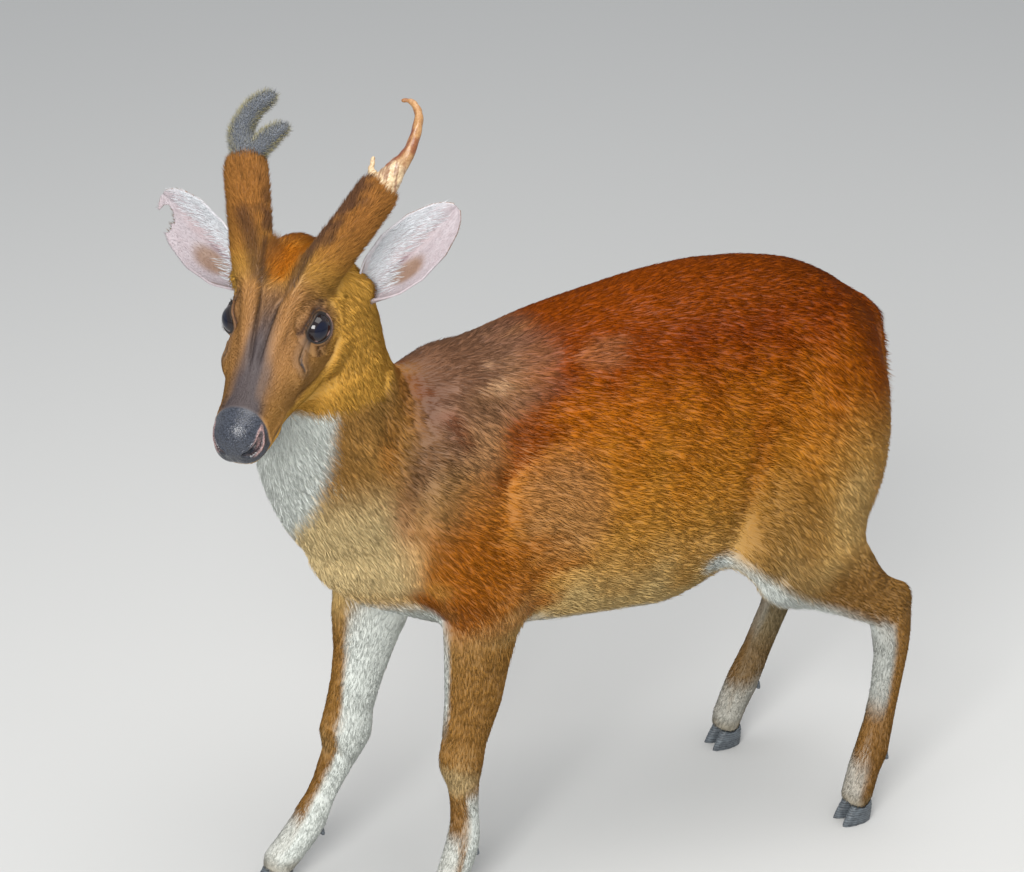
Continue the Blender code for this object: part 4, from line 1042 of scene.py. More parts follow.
def tufts(name, at, up, lie, length, breadth, rise, tint, places, tip_tint=1.06, root_band_and_shade=0.88):
    """Straight thin wedges that lie along the hide at a small rise in degrees."""
    across = unit(np.cross(up, lie))
    forward = np.cross(across, up)
    slope = np.radians(rise)[:, None]
    length, breadth = length[:, None], breadth[:, None]
    onward = forward * np.cos(slope) + up * np.sin(slope)
    crest = up * np.cos(slope) - forward * np.sin(slope)
    foot = at - up * 0.0005
    corners = np.stack(
        [
            foot - across * breadth / 2,
            foot + across * breadth / 2,
            at + crest * breadth * 0.22 + onward * length * 0.22,
            at + onward * length,
        ],
        axis=1,
    )
    # darker at the root: partly the hair's own banding, partly painted shade near the skin
    shades = np.array((root_band_and_shade, root_band_and_shade, 1.0, tip_tint))[None, :, None]
    patch = np.array(((-1, -1), (1, -1), (0, 0), (0, 1))) * UV_PATCH
    return from_arrays(name, corners, TUFT_FACES, tint[:, None] * shades, places, patch)


def locks(name, at, up, lie, length, breadth, rise, fall, tint, places):
    """Longer pointed locks that start at one rise and bend down by a fall in degrees."""
    across = unit(np.cross(up, lie))
    forward = np.cross(across, up)
    length, breadth = length[:, None], breadth[:, None]

    def heading(angle):
        slope = np.radians(angle)[:, None]
        return forward * np.cos(slope) + up * np.sin(slope)

    first, second = heading(rise), heading(rise - fall)
    foot = at - up * 0.0008
    middle = at + first * length * 0.5
    crest = up * breadth * 0.4
    corners = np.stack(
        [
            foot - across * breadth / 2,
            foot + across * breadth / 2,
            foot + crest + up * 0.0008,
            middle - across * breadth * 0.38,
            middle + across * breadth * 0.38,
            middle + crest * 0.8,
            middle + second * length * 0.5,
        ],
        axis=1,
    )
    # darker towards the root: partly the hair's own banding, partly painted shade near the skin
    shades = np.array((0.75, 0.75, 0.8, 0.97, 0.97, 1.0, 1.08))[None, :, None]
    patch = np.array(((-1, -1), (1, -1), (0, -1), (-1, 0), (1, 0), (0, 0), (0, 1))) * UV_PATCH
    return from_arrays(name, corners, LOCK_FACES, tint[:, None] * shades, places, patch)


def surface_of(target):
    """The triangles of a mesh: corners, normals at them, places in the bake map and areas."""
    mesh = target.data
    mesh.calc_loop_triangles()
    count = len(mesh.loop_triangles)
    corners = np.empty(count * 3, np.int32)
    mesh.loop_triangles.foreach_get("vertices", corners)
    loops = np.empty(count * 3, np.int32)
    mesh.loop_triangles.foreach_get("loops", loops)
    area = np.empty(count)
    mesh.loop_triangles.foreach_get("area", area)
    flat = np.empty(len(mesh.loops) * 2)
    mesh.uv_layers["OFBake"].data.foreach_get("uv", flat)
    corners = corners.reshape(-1, 3)
    places = flat.reshape(-1, 2)[loops.reshape(-1, 3)]
    return points_of(mesh)[corners], normals_of(mesh)[corners], places, area


def roots_on(surface, density):
    """Evenly scattered roots: points, normals and places in the bake map."""
    corners, normals, places, area = surface
    expected = np.cumsum(area * density * QUICK_SHARE)
    count = int(expected[-1])
    aims = (np.arange(count) + chance.random(count)) * expected[-1] / count
    chosen = np.minimum(np.searchsorted(expected, aims), len(area) - 1)
    first, second = chance.random((2, count))
    over = first + second > 1
    first[over], second[over] = 1 - first[over], 1 - second[over]
    shares = np.stack([1 - first - second, first, second], axis=1)[:, :, None]
    return (
        (corners[chosen] * shares).sum(axis=1),
        unit((normals[chosen] * shares).sum(axis=1)),
        (places[chosen] * shares).sum(axis=1),
    )


def hair_cover(points):
    """How thickly hair grows, from 0 on bare skin to 1, and how long it is for its place."""
    h, b = inside(points, head), inside(points, stand)
    cover, long = np.ones(len(points)), np.ones(len(points))
    cover *= 1 - step(bareness(h), 0.0, 0.5)
    for side in (1, -1):
        radius, outside, _ = eye_measure(points, side)
        near = radius < EYE_RADIUS + 0.014
        cover *= 1 - near * (1 - step(outside, 0.0022, 0.0040))
        long *= 1 - 0.55 * near * (1 - step(outside, 0.006, 0.016))
        away, _, breadth = off_curve(h, on_side(NOSTRIL, side))
        cover *= step(away * HEAD_SCALE - breadth, 0.0006, 0.0030)
        away = off_curve(h, on_side(GLAND_SLIT, side))[0]
        cover *= step(away, 0.0009, 0.0020)
        long *= 1 - 0.4 * (1 - step(away, 0.004, 0.012))
        away = off_curve(h, on_side(MOUTH, side))[0]
        cover *= step(away, 0.0008, 0.0020)
        long *= 1 - 0.5 * (1 - step(away, 0.003, 0.010))
        cover *= 1 - 0.8 * bell(off_curve(h, FOLDS[side])[0], 0.0013)
        ear_root = np.array(head @ Vector((-0.062, 0.0515 * side, -0.010)))
        cover *= np.linalg.norm(points - ear_root, axis=1) >= 0.010
    bridge = step(0.016 - np.abs(h[:, 1]), 0, 0.004) * step(h[:, 0], 0.01, 0.04)
    bridge *= step(h[:, 2], 0, 0.01)
    long *= 1 - 0.45 * bridge
    cover *= step(points[:, 2], 0.024, 0.034)
    long *= 1 + 1.1 * blot(h, (-0.040, 0.0, 0.046), (0.022, 0.018, 0.022))
    throat = step(b[:, 0], 0.24, 0.29) * step(b[:, 2], 0.36, 0.42) * (h[:, 0] < 0.06)
    long *= 1 + 0.35 * throat * (h[:, 2] < -0.05)
    edge = step(-b[:, 2], -0.36, -0.31) * step(0.2 - np.abs(b[:, 0]), 0, 0.05) * (b[:, 2] > 0.27)
    long *= 1 + 0.3 * edge
    return cover, long


hide_surface = surface_of(hide)
middles = hide_surface[0].mean(axis=1)
wear, _ = wear_at(middles)
cover, _ = hair_cover(middles)
roots, ups, places = roots_on(hide_surface, wear[:, 5] * cover)
count = len(roots)
wear, lies = wear_at(roots)
_, long = hair_cover(roots)
swing = np.radians(chance.normal(0, 8, count) + 9 * ripple(roots, 0.035, 21))[:, None]
lies = unit(lies - ups * (lies * ups).sum(axis=1, keepdims=True))
lies = lies * np.cos(swing) + np.cross(ups, lies) * np.sin(swing)
hair_length = wear[:, 2] * long * chance.uniform(0.75, 1.2, count)
hair_breadth = wear[:, 3] * chance.uniform(0.7, 1.3, count)
hair_rise = np.clip(wear[:, 4] * (1 + 0.30 * chance.normal(size=count)), 2, 70)
hair_tint = markings(roots, ups)
body = inside(roots, stand)
grizzled = step(body[:, 0], 0.10, 0.20) * step(body[:, 2], 0.36, 0.42)
weights = nearness(roots)
bristly = say_of("pedicles", weights)
bright = 1 + 0.065 * chance.normal(size=count)
bright += 0.035 * ripple(roots, 0.009, 31)
bright += 0.05 * ripple(roots, 0.05, 33)
bright += grizzled * 0.16 * (chance.random(count) - 0.5)
bright -= bristly * 0.45 * (chance.random(count) < 0.30)
hair_tint = hair_tint * np.clip(bright, 0.4, 1.6)[:, None]

fur_look = Look("fur", roughness=0.50, specular_ior_level=0.06)
strands = fur_look.noise(2600.0, 2.0, 0.5)
fur_look.drives(base_color=fur_look.mottled(0.25, strands, (0.3, 0.6), (0.7, 1.0)))

part_of = PARTS[weights.argmax(axis=1)]
barrel_half = np.where(body[:, 1] > 0, "barrel_left", "barrel_right")
part_of = np.where(part_of == "barrel", barrel_half, part_of)
for part in (
    "face", "head", "pedicles", "neck", "tail", "foreleg_left", "foreleg_right",
    "hindleg_left", "hindleg_right", "shoulders", "thighs", "barrel_left", "barrel_right", "rump",
):
    chosen = part_of == part
    piece = tufts(
        "coat_" + part, roots[chosen], ups[chosen], lies[chosen], hair_length[chosen],
        hair_breadth[chosen], hair_rise[chosen], hair_tint[chosen], places[chosen],
    )
    dressed(piece, fur_look.material, "coat")


LOCK_DENSITY = 190e3  # on a square metre


def edge_locks(points):
    """Longer hair where the coat breaks the outline: name, share, length, breadth, rise, fall."""
    b, h = inside(points, stand), inside(points, head)
    x, y, z = b.T
    belly = step(-z, -0.345, -0.325) * (z > 0.27) * step(0.19 - np.abs(x), 0, 0.04)
    chest = step(x, 0.23, 0.28) * step(-z, -0.50, -0.40) * (z > 0.32) * (np.abs(y) < 0.09)
    throat = (x > 0.27) * step(z, 0.42, 0.48) * (h[:, 2] < -0.055) * (h[:, 0] < 0.06)
    fold = np.zeros(len(points))
    band = [(-0.045, 0.080, 0.332), (-0.080, 0.088, 0.310), (-0.115, 0.094, 0.292),
            (-0.160, 0.094, 0.276), (-0.205, 0.088, 0.260)]
    for side in (1, -1):
        fold = np.maximum(fold, off_mark(b, band, side, 0.024))
    rump = step(-x, 0.215, 0.24) * step(z, 0.30, 0.36)
    rump = np.maximum(rump * 0.6, say_of("tail", nearness(points)))
    elbow = blot(b, (0.10, 0.085, 0.33), (0.05, 0.04, 0.03))
    crown = blot(h, (-0.040, 0.0, 0.048), (0.026, 0.022, 0.022))
    tops = np.zeros(len(points))
    for rows in PEDICLE_RUNS.values():
        tops = np.maximum(tops, blot(h, rows[2], (0.017, 0.017, 0.017)))
    return (
        ("coat_belly", belly * 0.26, 0.015, 0.0010, 12, 12),
        ("coat_chest", chest * 0.55, 0.016, 0.0010, 13, 18),
        ("coat_throat", throat * 0.70, 0.014, 0.0008, 12, 16),
        ("coat_fold", fold * 1.7, 0.014, 0.0008, 12, 8),
        ("coat_breech", rump * 0.5, 0.014, 0.0009, 6, 4),
        ("coat_elbow", elbow, 0.014, 0.0010, 12, 10),
        ("coat_crown", crown * 2.5, 0.014, 0.0008, 20, 20),
        ("coat_pedicle_tops", tops * 7, 0.012, 0.0006, 24, -6),
    )


for name, share, length, breadth, rise, fall in edge_locks(middles):
    roots, ups, places = roots_on(hide_surface, LOCK_DENSITY * share)
    _, lies = wear_at(roots)
    lies = unit(lies + chance.normal(0, 0.16, lies.shape))
    if name == "coat_fold":
        lies = unit(lies * 0.4 + np.array((-0.75, 0.0, -0.75)))
    count = len(roots)
    tint = markings(roots, ups) * (1 + 0.10 * chance.normal(size=(count, 1)))
    piece = locks(
        name, roots, ups, lies, length * chance.uniform(0.6, 1.15, count),
        breadth * chance.uniform(0.7, 1.2, count), rise + chance.normal(0, 5, count), fall,
        np.clip(tint, 0, 1), places,
    )
    dressed(piece, fur_look.material, "coat")


# The eyes
# Dark wet balls with a domed cornea over a wide pupil, a pink corner in front and black
# lashes along the upper lid.

eye_look = Look("wet eye", roughness=0.05, specular_ior_level=0.42)
eye_look.drives(base_color=eye_look.mottled(0.5, eye_look.noise(700.0), (0.35, 0.4), (0.7, 1.0)))
# the pupil is dark navy: its own dark plus a painted blue sheen
PUPIL_AND_BLUE_SHEEN, IRIS = hair_colour(6, 12, 34), hair_colour(30, 22, 24)
for side, word in ((1, "left"), (-1, "right")):
    bm = bmesh.new()
    bmesh.ops.create_uvsphere(bm, u_segments=72, v_segments=48, radius=EYE_RADIUS)
    for vert in bm.verts:
        vert.co *= 1 + 0.025 * float(step(vert.co.z / EYE_RADIUS, 0.70, 0.98))
    at = np.array([tuple(vert.co) for vert in bm.verts])
    bmesh.ops.transform(bm, matrix=eye_place(side), verts=bm.verts)
    ball = linked("eyeball_" + word, bm)
    pupil = 1 - step(np.hypot(at[:, 0] / 0.0078, at[:, 1] / 0.0056), 0.85, 1.1)
    corner = blot(at, (0.0108, 0.0040 * side, 0.0082), (0.0024, 0.0026, 0.0040)) * 0.6
    below = blot(at, (-0.0015, 0.0088 * side, 0.0110), (0.0036, 0.0014, 0.0040))
    corner = np.maximum(corner, below)
    tint = IRIS * (1 - pupil[:, None]) + PUPIL_AND_BLUE_SHEEN * pupil[:, None]
    coloured(ball.data, tint * (1 - corner[:, None]) + PINK * corner[:, None])
    unwrapped(ball)
    dressed(ball, eye_look.material, "eye", "eye_" + word)

UPPER_LASHES, LOWER_LASHES = 60, 24
UPPER_LASH, LOWER_LASH, LASH_BREADTH = 0.0078, 0.0042, 0.00042
LASH_RADIUS = EYE_RADIUS + 0.0010
lash_look = Look("lashes", roughness=0.4)
lash_look.drives(base_color=lash_look.mottled(0.5, lash_look.noise(900.0), (0.3, 0.3), (0.7, 1.0)))
for side, word in ((1, "left"), (-1, "right")):
    along = np.concatenate(
        [np.linspace(-0.95, 0.80, UPPER_LASHES), np.linspace(-0.85, 0.6, LOWER_LASHES)]
    )
    above = np.concatenate([np.ones(UPPER_LASHES), -np.ones(LOWER_LASHES)])
    _, height_above, height_below = LID_GAP
    squareness = np.where(above > 0, *LID_SQUARENESS)
    v = (1 - np.abs(along) ** squareness) ** (1 / LID_ROUNDNESS)
    v = np.where(above > 0, height_above, height_below) * v + 0.0010
    u = along * LID_GAP[0] - LID_SHIFT
    angle = np.hypot(u, v) / EYE_RADIUS
    shrink = LASH_RADIUS * np.sin(angle) / np.hypot(u, v)
    u, v, w = u * shrink, v * shrink, LASH_RADIUS * np.cos(angle)
    turn = np.array(eye_place(side).to_3x3())
    at = np.stack([u, -v * above * side, w], axis=1)
    out = unit(at)
    lie = np.stack([np.full(len(u), -0.35), -above * side * 0.9, np.full(len(u), 0.15)], axis=1)
    lie += chance.normal(0, 0.12, lie.shape)
    count = len(u)
    piece = locks(
        "lashes_" + word, at @ turn.T + np.array(eye_place(side).translation), out @ turn.T,
        unit(lie) @ turn.T,
        np.where(above > 0, UPPER_LASH, LOWER_LASH) * chance.uniform(0.7, 1.1, count),
        np.full(count, LASH_BREADTH), np.full(count, 62.0), 30.0,
        np.tile(SKIN_DARK * 0.3, (count, 1)),
        np.stack([0.5 + 0.3 * along, np.full(count, 0.5)], axis=1),
    )
    dressed(piece, lash_look.material, "coat")


# The ears
# Thin leaves of gristle and skin, rolled at the root. Long white hair fans over the pinkish
# inside, short brown hair covers the back, and the right one has an old tear.

# Root and tip in the head's frame, and width
EARS = {
    "left": ((-0.0722, 0.0545, -0.0130), (-0.1165, 0.1205, 0.0455), 0.050),
    "right": ((-0.0710, -0.0480, -0.0155), (-0.1085, -0.1340, 0.0345), 0.056),
}
EAR_FACES = Vector((0.825, 0, 0.565))  # where the ears open to
# Share of the length, share of the width and half the curl in degrees, from root to tip
EAR_OUTLINE = (
    (0.00, 0.36, 140), (0.12, 0.58, 114), (0.25, 0.82, 88), (0.45, 1.00, 66),
    (0.70, 0.93, 48), (0.88, 0.64, 38), (0.96, 0.40, 34), (1.00, 0.16, 30),
)
EAR_THICKNESS = 0.0018
TEAR = ((-0.0990, -0.1290, 0.0180), (0.0120, 0.0085, 0.0120))  # middle and reach
FAN_DENSITY, DOWN_DENSITY, BACK_DENSITY = 450e3, 620e3, 560e3  # on a square metre
EAR_SKIN = hair_colour(172, 163, 167)
EAR_BARE = hair_colour(136, 106, 82)
# painted shade for the crease in the hollow of the ear
EAR_CREASE_SHADE = hair_colour(116, 84, 90)
EAR_BACK = hair_colour(138, 100, 62)
EAR_WHITE = hair_colour(224, 227, 231)

ear_look = Look("ear skin", roughness=0.55)
veins = ear_look.noise(180.0, 4.0, 0.6)
ear_look.drives(
    base_color=ear_look.mottled(0.4, veins, (0.35, (0.62, 0.50, 0.50)), (0.65, 1.0)),
    normal=ear_look.bump(veins, 0.4, 0.0006),
)
for word, (base, tip, width) in EARS.items():
    base, tip = head @ Vector(base), head @ Vector(tip)
    lengthwise = (tip - base).normalized()
    faces = head_turn.to_3x3() @ EAR_FACES
    faces = (faces - faces.dot(lengthwise) * lengthwise).normalized()
    across = lengthwise.cross(faces)
    reach = (tip - base).length
    stations, widths, curls = zip(*EAR_OUTLINE)
    bm = bmesh.new()
    bmesh.ops.create_grid(bm, x_segments=52, y_segments=76, size=0.5)
    for vert in bm.verts:
        u, v = vert.co.y + 0.5, 2 * vert.co.x
        curl = math.radians(np.interp(u, stations, curls))
        chord = width * np.interp(u, stations, widths)
        radius = 0.5 * chord / math.sin(min(curl, math.pi / 2))
        rise = radius * (1 - math.cos(v * curl)) - 0.010 * u * u - 0.004
        rise += 0.0007 * math.sin(9 * v + 5 * u) * (1 - abs(v)) + 0.0008 * math.sin(14 * u) * abs(v)
        vert.co = base + lengthwise * reach * (u - 0.03 * (1 - u))
        vert.co += across * radius * math.sin(v * curl)
        vert.co += faces * rise
    if word == "right":
        middle, radii = TEAR
        back = head.inverted()
        torn = []
        for vert in bm.verts:
            at = back @ vert.co
            ragged = 0.10 * math.sin(900 * at.x) + 0.08 * math.sin(1500 * at.z + 2)
            if sum(((a - m) / r) ** 2 for a, m, r in zip(at, middle, radii)) < 1 + ragged:
                torn.append(vert)
        bmesh.ops.delete(bm, geom=torn, context="VERTS")
        rim = [vert for vert in bm.verts if vert.is_boundary]
        every_way = {"use_axis_x": True, "use_axis_y": True, "use_axis_z": True}
        bmesh.ops.smooth_vert(bm, verts=rim, factor=0.5, **every_way)
    bmesh.ops.recalc_face_normals(bm, faces=bm.faces)
    bmesh.ops.solidify(bm, geom=bm.faces[:], thickness=EAR_THICKNESS)
    ear = linked("ear_leaf_" + word, bm)

    def ear_place(points):
        """Share of the length, place across it from -1 to 1, for points on this ear."""
        off = points - np.array(base)
        u = np.clip(off @ np.array(lengthwise) / reach, 0, 1)
        half = 0.5 * width * np.interp(u, stations, widths)
        return u, np.clip(off @ np.array(across) / half, -1.2, 1.2)

    def ear_tint(points, normals):
        u, v = ear_place(points)
        high = v * (-1 if word == "left" else 1)
        flat = np.stack([u, high], axis=1)
        within = step(normals @ np.array(faces), -0.15, 0.15)[:, None]
        bare = blot(flat, (0.33, -0.45), (0.25, 0.42))[:, None] * 0.85
        pink = blot(flat, (0.55, 0.15), (0.35, 0.45))[:, None] * 0.15
        # painted shade: a lavender-brown line darkens the crease in the middle of the inside
        crease = bell(high + 0.02 + 0.25 * (u - 0.3), 0.07) * blot(flat, (0.26, 0), (0.24, 0.5))
        skin = EAR_SKIN * (1 - pink) + PINK * pink
        skin = skin * (1 - bare) + EAR_BARE * bare
        skin = skin * (1 - 0.8 * crease[:, None]) + EAR_CREASE_SHADE * 0.8 * crease[:, None]
        pale = step(high, 0.45, 0.85)[:, None] * 0.6
        skin = skin * (1 - pale) + EAR_WHITE * pale
        return EAR_BACK * (1 - within) + skin * within

    coloured(ear.data, ear_tint(points_of(ear.data), normals_of(ear.data)))
    unwrapped(ear)
    dressed(ear, ear_look.material, "ear_hair", "ear_" + word)

    surface = surface_of(ear)
    middle = surface[0].mean(axis=1)
    up = surface[1].mean(axis=1)
    u, v = ear_place(middle)
    within = up @ np.array(faces)
    axis, sideways = np.array(lengthwise), np.array(across)
    high = v * (-1 if word == "left" else 1)
    rootward = blot(np.stack([u, high], axis=1), (0.05, 0.2), (0.30, 1.2))
    fan = step(high, -0.05, 0.45) * step(0.95 - u, 0, 0.25) + 0.8 * rootward
    fan_on = (within > 0.3) * fan * FAN_DENSITY * (np.abs(v) < 0.97)
    down_on = (within > 0.2) * DOWN_DENSITY * (np.abs(v) < 0.98) * (u < 0.97)
    back_on = (within < -0.35) * BACK_DENSITY * (np.abs(v) < 0.88) * (u < 0.90)
    for kind, share, length, breadth, rise, tint in (
        ("fan", fan_on, 0.0120, 0.00052, 8, EAR_WHITE),
        ("down", down_on, 0.0040, 0.00045, 7, None),
        ("back", back_on, 0.0050, 0.00075, 5, EAR_BACK),
    ):
        at, ups, places = roots_on(surface, share)
        u, v = ear_place(at)
        count = len(at)
        downward = 0.55 if word == "left" else -0.55
        lean = {"fan": np.full(count, downward), "down": 0.35 * v, "back": 0.15 * v}[kind]
        lie = unit(axis[None] + sideways[None] * lean[:, None] + chance.normal(0, 0.11, at.shape))
        shade = 1 + 0.09 * chance.normal(size=(count, 1))
        tints = ear_tint(at, ups) * 1.12 if tint is None else tint * np.ones((count, 1))
        if kind == "back":
            shade = shade * (0.70 + 0.30 * step(1 - u, 0.0, 0.3))[:, None]
        makes = locks if kind == "fan" else tufts
        extra = (14.0,) if kind == "fan" else ()
        piece = makes(
            "ear_" + kind + "_" + word, at, ups, lie, length * chance.uniform(0.6, 1.2, count),
            np.full(count, breadth), rise + chance.normal(0, 2.5, count), *extra,
            np.clip(tints * shade, 0, 1), places,
        )
        dressed(piece, fur_look.material, "ear_hair")


# The antlers
# The left is clean bone with a frayed rim and a spike at its root. The right still grows
# under grey velvet, as two blunt branches. Both are carried by the pedicles.

# Rows of (x, y, z, radius) in the head's frame
BEAMS = {
    "left": [
        (-0.0860, 0.0655, 0.0770, 0.0100), (-0.0950, 0.0730, 0.0835, 0.0112),
        (-0.0985, 0.0755, 0.0860, 0.0106), (-0.1090, 0.0835, 0.0945, 0.0076),
        (-0.1186, 0.0907, 0.1022, 0.0052), (-0.1338, 0.0950, 0.1145, 0.0041),
        (-0.1434, 0.0940, 0.1223, 0.0035), (-0.1497, 0.0870, 0.1277, 0.0024),
        (-0.1500, 0.0790, 0.1278, 0.0012),
    ],
    "right": [
        (-0.0930, -0.0405, 0.0820, 0.0115), (-0.1060, -0.0450, 0.0915, 0.0112),
        (-0.1110, -0.0470, 0.0955, 0.0103), (-0.1216, -0.0521, 0.1041, 0.0086),
        (-0.1361, -0.0444, 0.1158, 0.0072), (-0.1425, -0.0355, 0.1210, 0.0062),
        (-0.1450, -0.0290, 0.1230, 0.0040), (-0.1452, -0.0268, 0.1232, 0.0018),
    ],
}
TINES = {
    "left": [
        (-0.0900, 0.0640, 0.0795, 0.0056), (-0.1000, 0.0640, 0.0875, 0.0040),
        (-0.1060, 0.0618, 0.0922, 0.0025), (-0.1133, 0.0620, 0.0980, 0.0008),
    ],
    "right": [
        (-0.1060, -0.0420, 0.0915, 0.0076), (-0.1135, -0.0340, 0.0976, 0.0080),
        (-0.1205, -0.0262, 0.1032, 0.0072), (-0.1248, -0.0190, 0.1066, 0.0055),
        (-0.1268, -0.0125, 0.1080, 0.0024),
    ],
}
BONE_STREAK = [(-0.1065, 0.0765, 0.0985), (-0.1165, 0.0855, 0.1065), (-0.1290, 0.0905, 0.1150)]
ANTLER_GRID = {"left": 0.00065, "right": 0.0010}
ANTLER_SMOOTHING = {"left": 4, "right": 8}
VELVET_DENSITY = 1150e3  # on a square metre
BONE_TINT = hair_colour(172, 130, 84)
BONE_PALE = hair_colour(206, 184, 148)
BONE_RED = hair_colour(116, 52, 22)
VELVET_GREY = hair_colour(104, 109, 118)
VELVET_TIP = hair_colour(168, 158, 112)


def swept(bm, rows, sides=20):
    """Adds a round closed horn through rows of (x, y, z, radius) in the head's frame."""
    path = smooth_curve(rows, 6)
    centres = [head @ Vector(row[:3]) for row in path]
    ring = bmesh.ops.create_circle(bm, cap_ends=True, segments=sides, radius=1.0)["verts"]
    aside = head_turn.to_3x3() @ Vector((0.3, 1.0, 0.2))
    for number, (row, centre) in enumerate(zip(path, centres)):
        if number:
            touching = {edge for vert in ring for edge in vert.link_edges}
            loop = {edge for edge in touching if all(vert in ring for vert in edge.verts)}
            made = bmesh.ops.extrude_edge_only(bm, edges=list(loop))["geom"]
            fresh = [part for part in made if isinstance(part, bmesh.types.BMVert)]
            order = {
                edge.other_vert(vert): vert
                for vert in fresh
                for edge in vert.link_edges
                if edge.other_vert(vert) in ring
            }
            ring = [order[vert] for vert in ring]
        ahead = centres[min(number + 1, len(centres) - 1)] - centres[max(number - 1, 0)]
        first = ahead.cross(aside).normalized()
        second = ahead.normalized().cross(first)
        for turn, vert in enumerate(ring):
            angle = 2 * math.pi * turn / sides
            outward = first * math.cos(angle) + second * math.sin(angle)
            vert.co = centre + outward * row[3] * HEAD_SCALE
    bmesh.ops.contextual_create(bm, geom=ring)


bone_look = Look("bare antler bone", roughness=0.38, coat_weight=0.25, coat_roughness=0.25)
bone_grain = bone_look.noise(520.0, 5.0, 0.65)
bone_look.drives(
    base_color=bone_look.mottled(0.60, bone_grain, (0.36, (0.50, 0.34, 0.22)), (0.60, 1.0)),
    normal=bone_look.bump(bone_grain, 0.5, 0.0005),
)
velvet_look = Look("velvet skin", roughness=0.8)
velvet_look.drives(
    base_color=velvet_look.mottled(0.5, velvet_look.noise(900.0), (0.3, 0.5), (0.7, 1.0)),
    normal=velvet_look.bump(velvet_look.noise(500.0), 0.5, 0.0008),
)
for word, side in (("left", 1), ("right", -1)):
    bm = bmesh.new()
    swept(bm, BEAMS[word])
    swept(bm, TINES[word])
    bmesh.ops.recalc_face_normals(bm, faces=bm.faces)
    antler = melted(linked("antler_" + word, bm), ANTLER_GRID[word])
    points = points_of(antler.data)
    relaxed(antler.data, np.full(len(points), 0.9), ANTLER_SMOOTHING[word])
    points, normals = points_of(antler.data), normals_of(antler.data)
    at = inside(points, head)
    away, share, _ = off_curve(at, BEAMS[word])
    if word == "left":
        base = 1 - step(share, 0.26, 0.50)
        bone_relief = 0.00035 * ripple(points * np.array((1, 1, 0.25)), 0.004, 51)
        bone_relief += 0.0011 * base * np.abs(ripple(points, 0.005, 52))
        put_points(antler.data, points + normals * bone_relief[:, None])
        streak = off_mark(at, BONE_STREAK, 1, 0.0060)
        streak *= step(ripple(points, 0.006, 53), -0.6, 0.1)
        stained = step(ripple(at * np.array((0.35, 1.6, 0.35)), 0.0060, 57), 0.0, 0.7)
        stained *= step(share, 0.30, 0.42) * 0.8
        streak = np.maximum(streak, stained)
        tint = BONE_TINT * (0.78 + 0.22 * step(share, 0.3, 0.6))[:, None]
        base = np.maximum(base, away > 0.007)[:, None]
        tint = tint * (1 - base) + BONE_PALE * base
        fibres = ripple(at * np.array((0.4, 2.2, 0.4)), 0.0050, 54)
        cracks = (base[:, 0] * step(fibres, 0.05, 0.7))[:, None] * 0.65
        tint = tint * (1 - cracks) + BONE_RED * 0.8 * cracks
        tint = tint * (1 - streak[:, None] * 0.9) + BONE_RED * streak[:, None] * 0.9
        end = step(share, 0.85, 1.0)[:, None] * 0.45
        tint = tint * (1 - end) + BONE_RED * end
        coloured(antler.data, tint)
        unwrapped(antler)
        dressed(antler, bone_look.material, "bare_antler", "antler_left_beam", "antler_left_tine")
    else:
        tint = VELVET_GREY * (1 + 0.12 * ripple(points, 0.012, 55))[:, None]
        coloured(antler.data, tint)
        unwrapped(antler)
        dressed(antler, velvet_look.material, "velvet", "antler_right_beam", "antler_right_tine")
        surface = surface_of(antler)
        at, ups, places = roots_on(surface, VELVET_DENSITY)
        count = len(at)
        upward = np.array(head_turn.to_3x3() @ Vector((-0.78, 0.1, 0.62)))
        aside = np.array(head_turn.to_3x3() @ Vector((0.2, 0.8, -0.5)))
        lie = unit(upward[None] + chance.normal(0, 0.35, at.shape))
        sunlit = step(np.abs(ups @ aside), 0.35, 0.9)
        mixed = chance.random(count)[:, None] * (0.25 + 0.75 * sunlit[:, None])
        piece = tufts(
            "velvet_hair", at, ups, lie, 0.0050 * chance.uniform(0.5, 1.3, count),
            np.full(count, 0.00048), chance.uniform(35, 75, count),
            VELVET_GREY * (1 - mixed) + VELVET_TIP * mixed, places, 1.5, 0.8,
        )
        dressed(piece, fur_look.material, "velvet")


# The hooves and dewclaws
# Two narrow claws of dark horn on each foot, with growth rings, and two small dewclaws that
# sit in the hair behind each fetlock.

CLAW_GRID, DEWCLAW_GRID = 0.0011, 0.0009
RING_SPACING, RING_DEPTH = 0.0042, 0.00018
DEWCLAW_ROOT = 0.0042  # radius of the balls that tie a dewclaw to the foot
horn_look = Look("hoof horn", coat_weight=0.15, coat_roughness=0.35)
horn_grain = horn_look.noise(220.0, 5.0, 0.6)
growth = horn_look.node(
    "ShaderNodeTexWave", {"bands_direction": "Z", "wave_profile": "SIN"},
    {"Vector": horn_look.place(), "Scale": 130.0, "Distortion": 2.0, "Detail": 2.0},
)
horn_look.drives(
    base_color=horn_look.ramp(
        horn_grain * 0.8 + growth * 0.2,
        (0.30, hair_colour(46, 50, 56)), (0.70, hair_colour(100, 108, 114)),
    ),
    roughness=0.42 + horn_grain * 0.2,
    normal=horn_look.bump(growth * 0.6 + horn_grain * 0.4, 0.5, 0.0005),
)
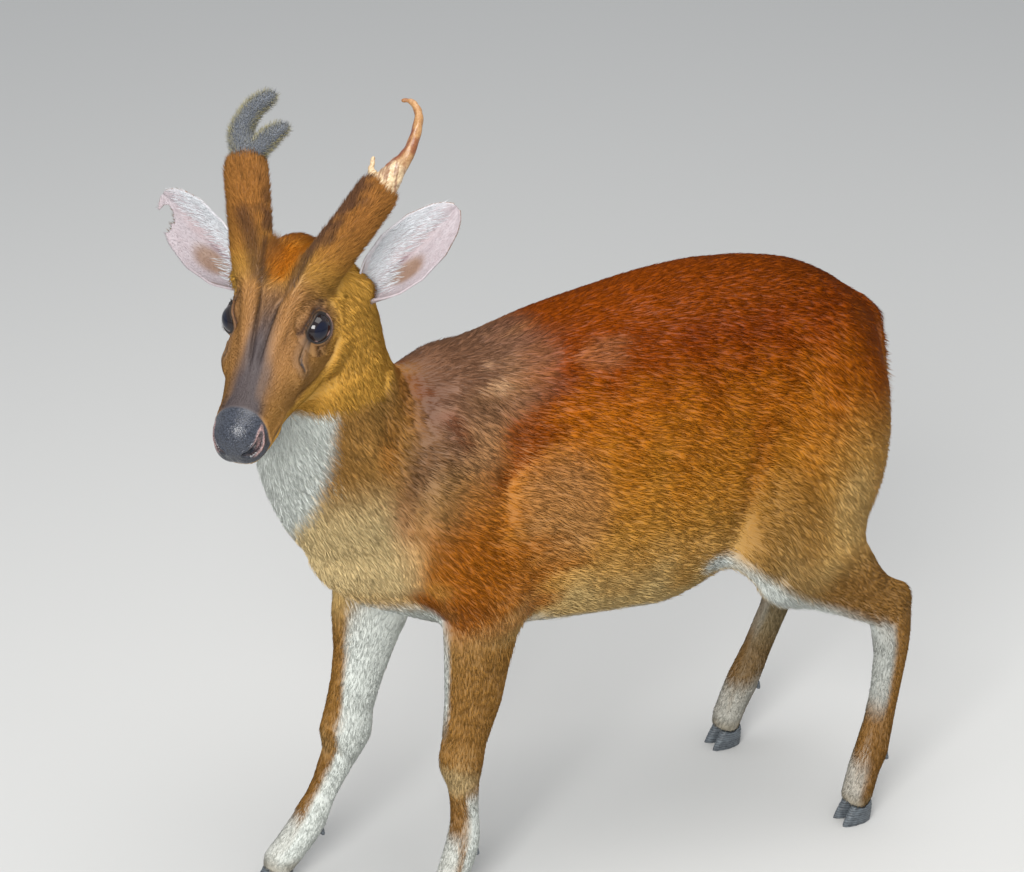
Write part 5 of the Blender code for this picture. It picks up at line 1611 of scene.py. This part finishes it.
for name, rows in LEG_RUNS.items():
    claws = ["hoof_%s_%s" % (name, which) for which in ("inner", "outer")]
    hoof = melted(solid_copy("hoof_pair_" + name, claws), CLAW_GRID)
    relaxed(hoof.data, np.full(len(hoof.data.vertices), 0.7), 6)
    points = points_of(hoof.data)
    points[:, 2] = np.maximum(points[:, 2], 0.0)
    rings = RING_DEPTH * np.sin(points[:, 2] * 2 * math.pi / RING_SPACING)
    rings *= step(points[:, 2], 0.003, 0.008)
    put_points(hoof.data, points + normals_of(hoof.data) * rings[:, None])
    unwrapped(hoof)
    dressed(hoof, horn_look.material, "horn", *claws)

    spurs = ["dewclaw_%s_%s" % (name, which) for which in ("inner", "outer")]
    start, end = stand @ Vector(rows[3]), stand @ Vector(rows[4])
    roots = []
    for spur in spurs:
        middle = middle_of(spur)
        along = max(0.0, min(1.0, (middle - start).dot(end - start) / (end - start).length_squared))
        inward = start + (end - start) * along - middle
        lift = Vector((0, 0, 0.004))
        roots += [(middle + inward * reach + lift, DEWCLAW_ROOT) for reach in (0.2, 0.4, 0.6)]
    spur = melted(solid_copy("dewclaws_" + name, spurs, 0.0, roots), DEWCLAW_GRID)
    relaxed(spur.data, np.full(len(spur.data.vertices), 0.7), 6)
    points = points_of(spur.data)
    _, share = reach_of(points, start, end)
    inward = np.array(start) + share[:, None] * np.array(end - start) - points
    put_points(spur.data, points + 0.0045 * unit(inward * np.array((1, 1, 0))))
    unwrapped(spur)
    dressed(spur, horn_look.material, "horn", *spurs)


# The camera, floor and light
# A long lens looks down on the animal from its left front. Soft light falls from above
# on a pale floor, as in a studio.

eye_level = stand @ Vector((1.1395, 2.1968, 1.6451))
aim = stand @ Vector((0, -0.247, 0.33))
camera = bpy.data.objects.new("camera", bpy.data.cameras.new("camera"))
bpy.context.scene.collection.objects.link(camera)
camera.location = eye_level
camera.rotation_mode = "QUATERNION"
camera.rotation_quaternion = (aim - eye_level).to_track_quat("-Z", "Y")
camera.data.sensor_width = 36.0
camera.data.lens = 102.3
bpy.context.scene.camera = camera
bpy.context.scene.view_settings.view_transform = "Standard"

bm = bmesh.new()
bmesh.ops.create_grid(bm, x_segments=1, y_segments=1, size=6.0)
floor = linked("floor", bm)
floor_look = Look("pale floor", roughness=0.8)
floor_look.shader.inputs["Base Color"].default_value = (0.56, 0.56, 0.55, 1.0)
floor.data.materials.append(floor_look.material)

world = bpy.data.worlds.new("studio")
bpy.context.scene.world = world
world.use_nodes = True
world.node_tree.nodes["Background"].inputs["Color"].default_value = (0.93, 0.96, 1.0, 1.0)
world.node_tree.nodes["Background"].inputs["Strength"].default_value = 0.62


def softbox(name, place, size, power, tint):
    lamp = bpy.data.lights.new(name, "AREA")
    lamp.shape = "RECTANGLE"
    lamp.size, lamp.size_y = size
    lamp.energy = power
    lamp.color = tint
    made = bpy.data.objects.new(name, lamp)
    bpy.context.scene.collection.objects.link(made)
    made.location = place
    made.rotation_mode = "QUATERNION"
    made.rotation_quaternion = (Vector((0, 0, 0.35)) - Vector(place)).to_track_quat("-Z", "Y")


softbox("overhead", (-0.3, 0.3, 2.6), (1.8, 1.8), 38.0, (1.0, 0.98, 0.95))
softbox("front left", (1.6, 2.0, 1.9), (1.2, 1.2), 84.0, (1.0, 0.99, 0.97))
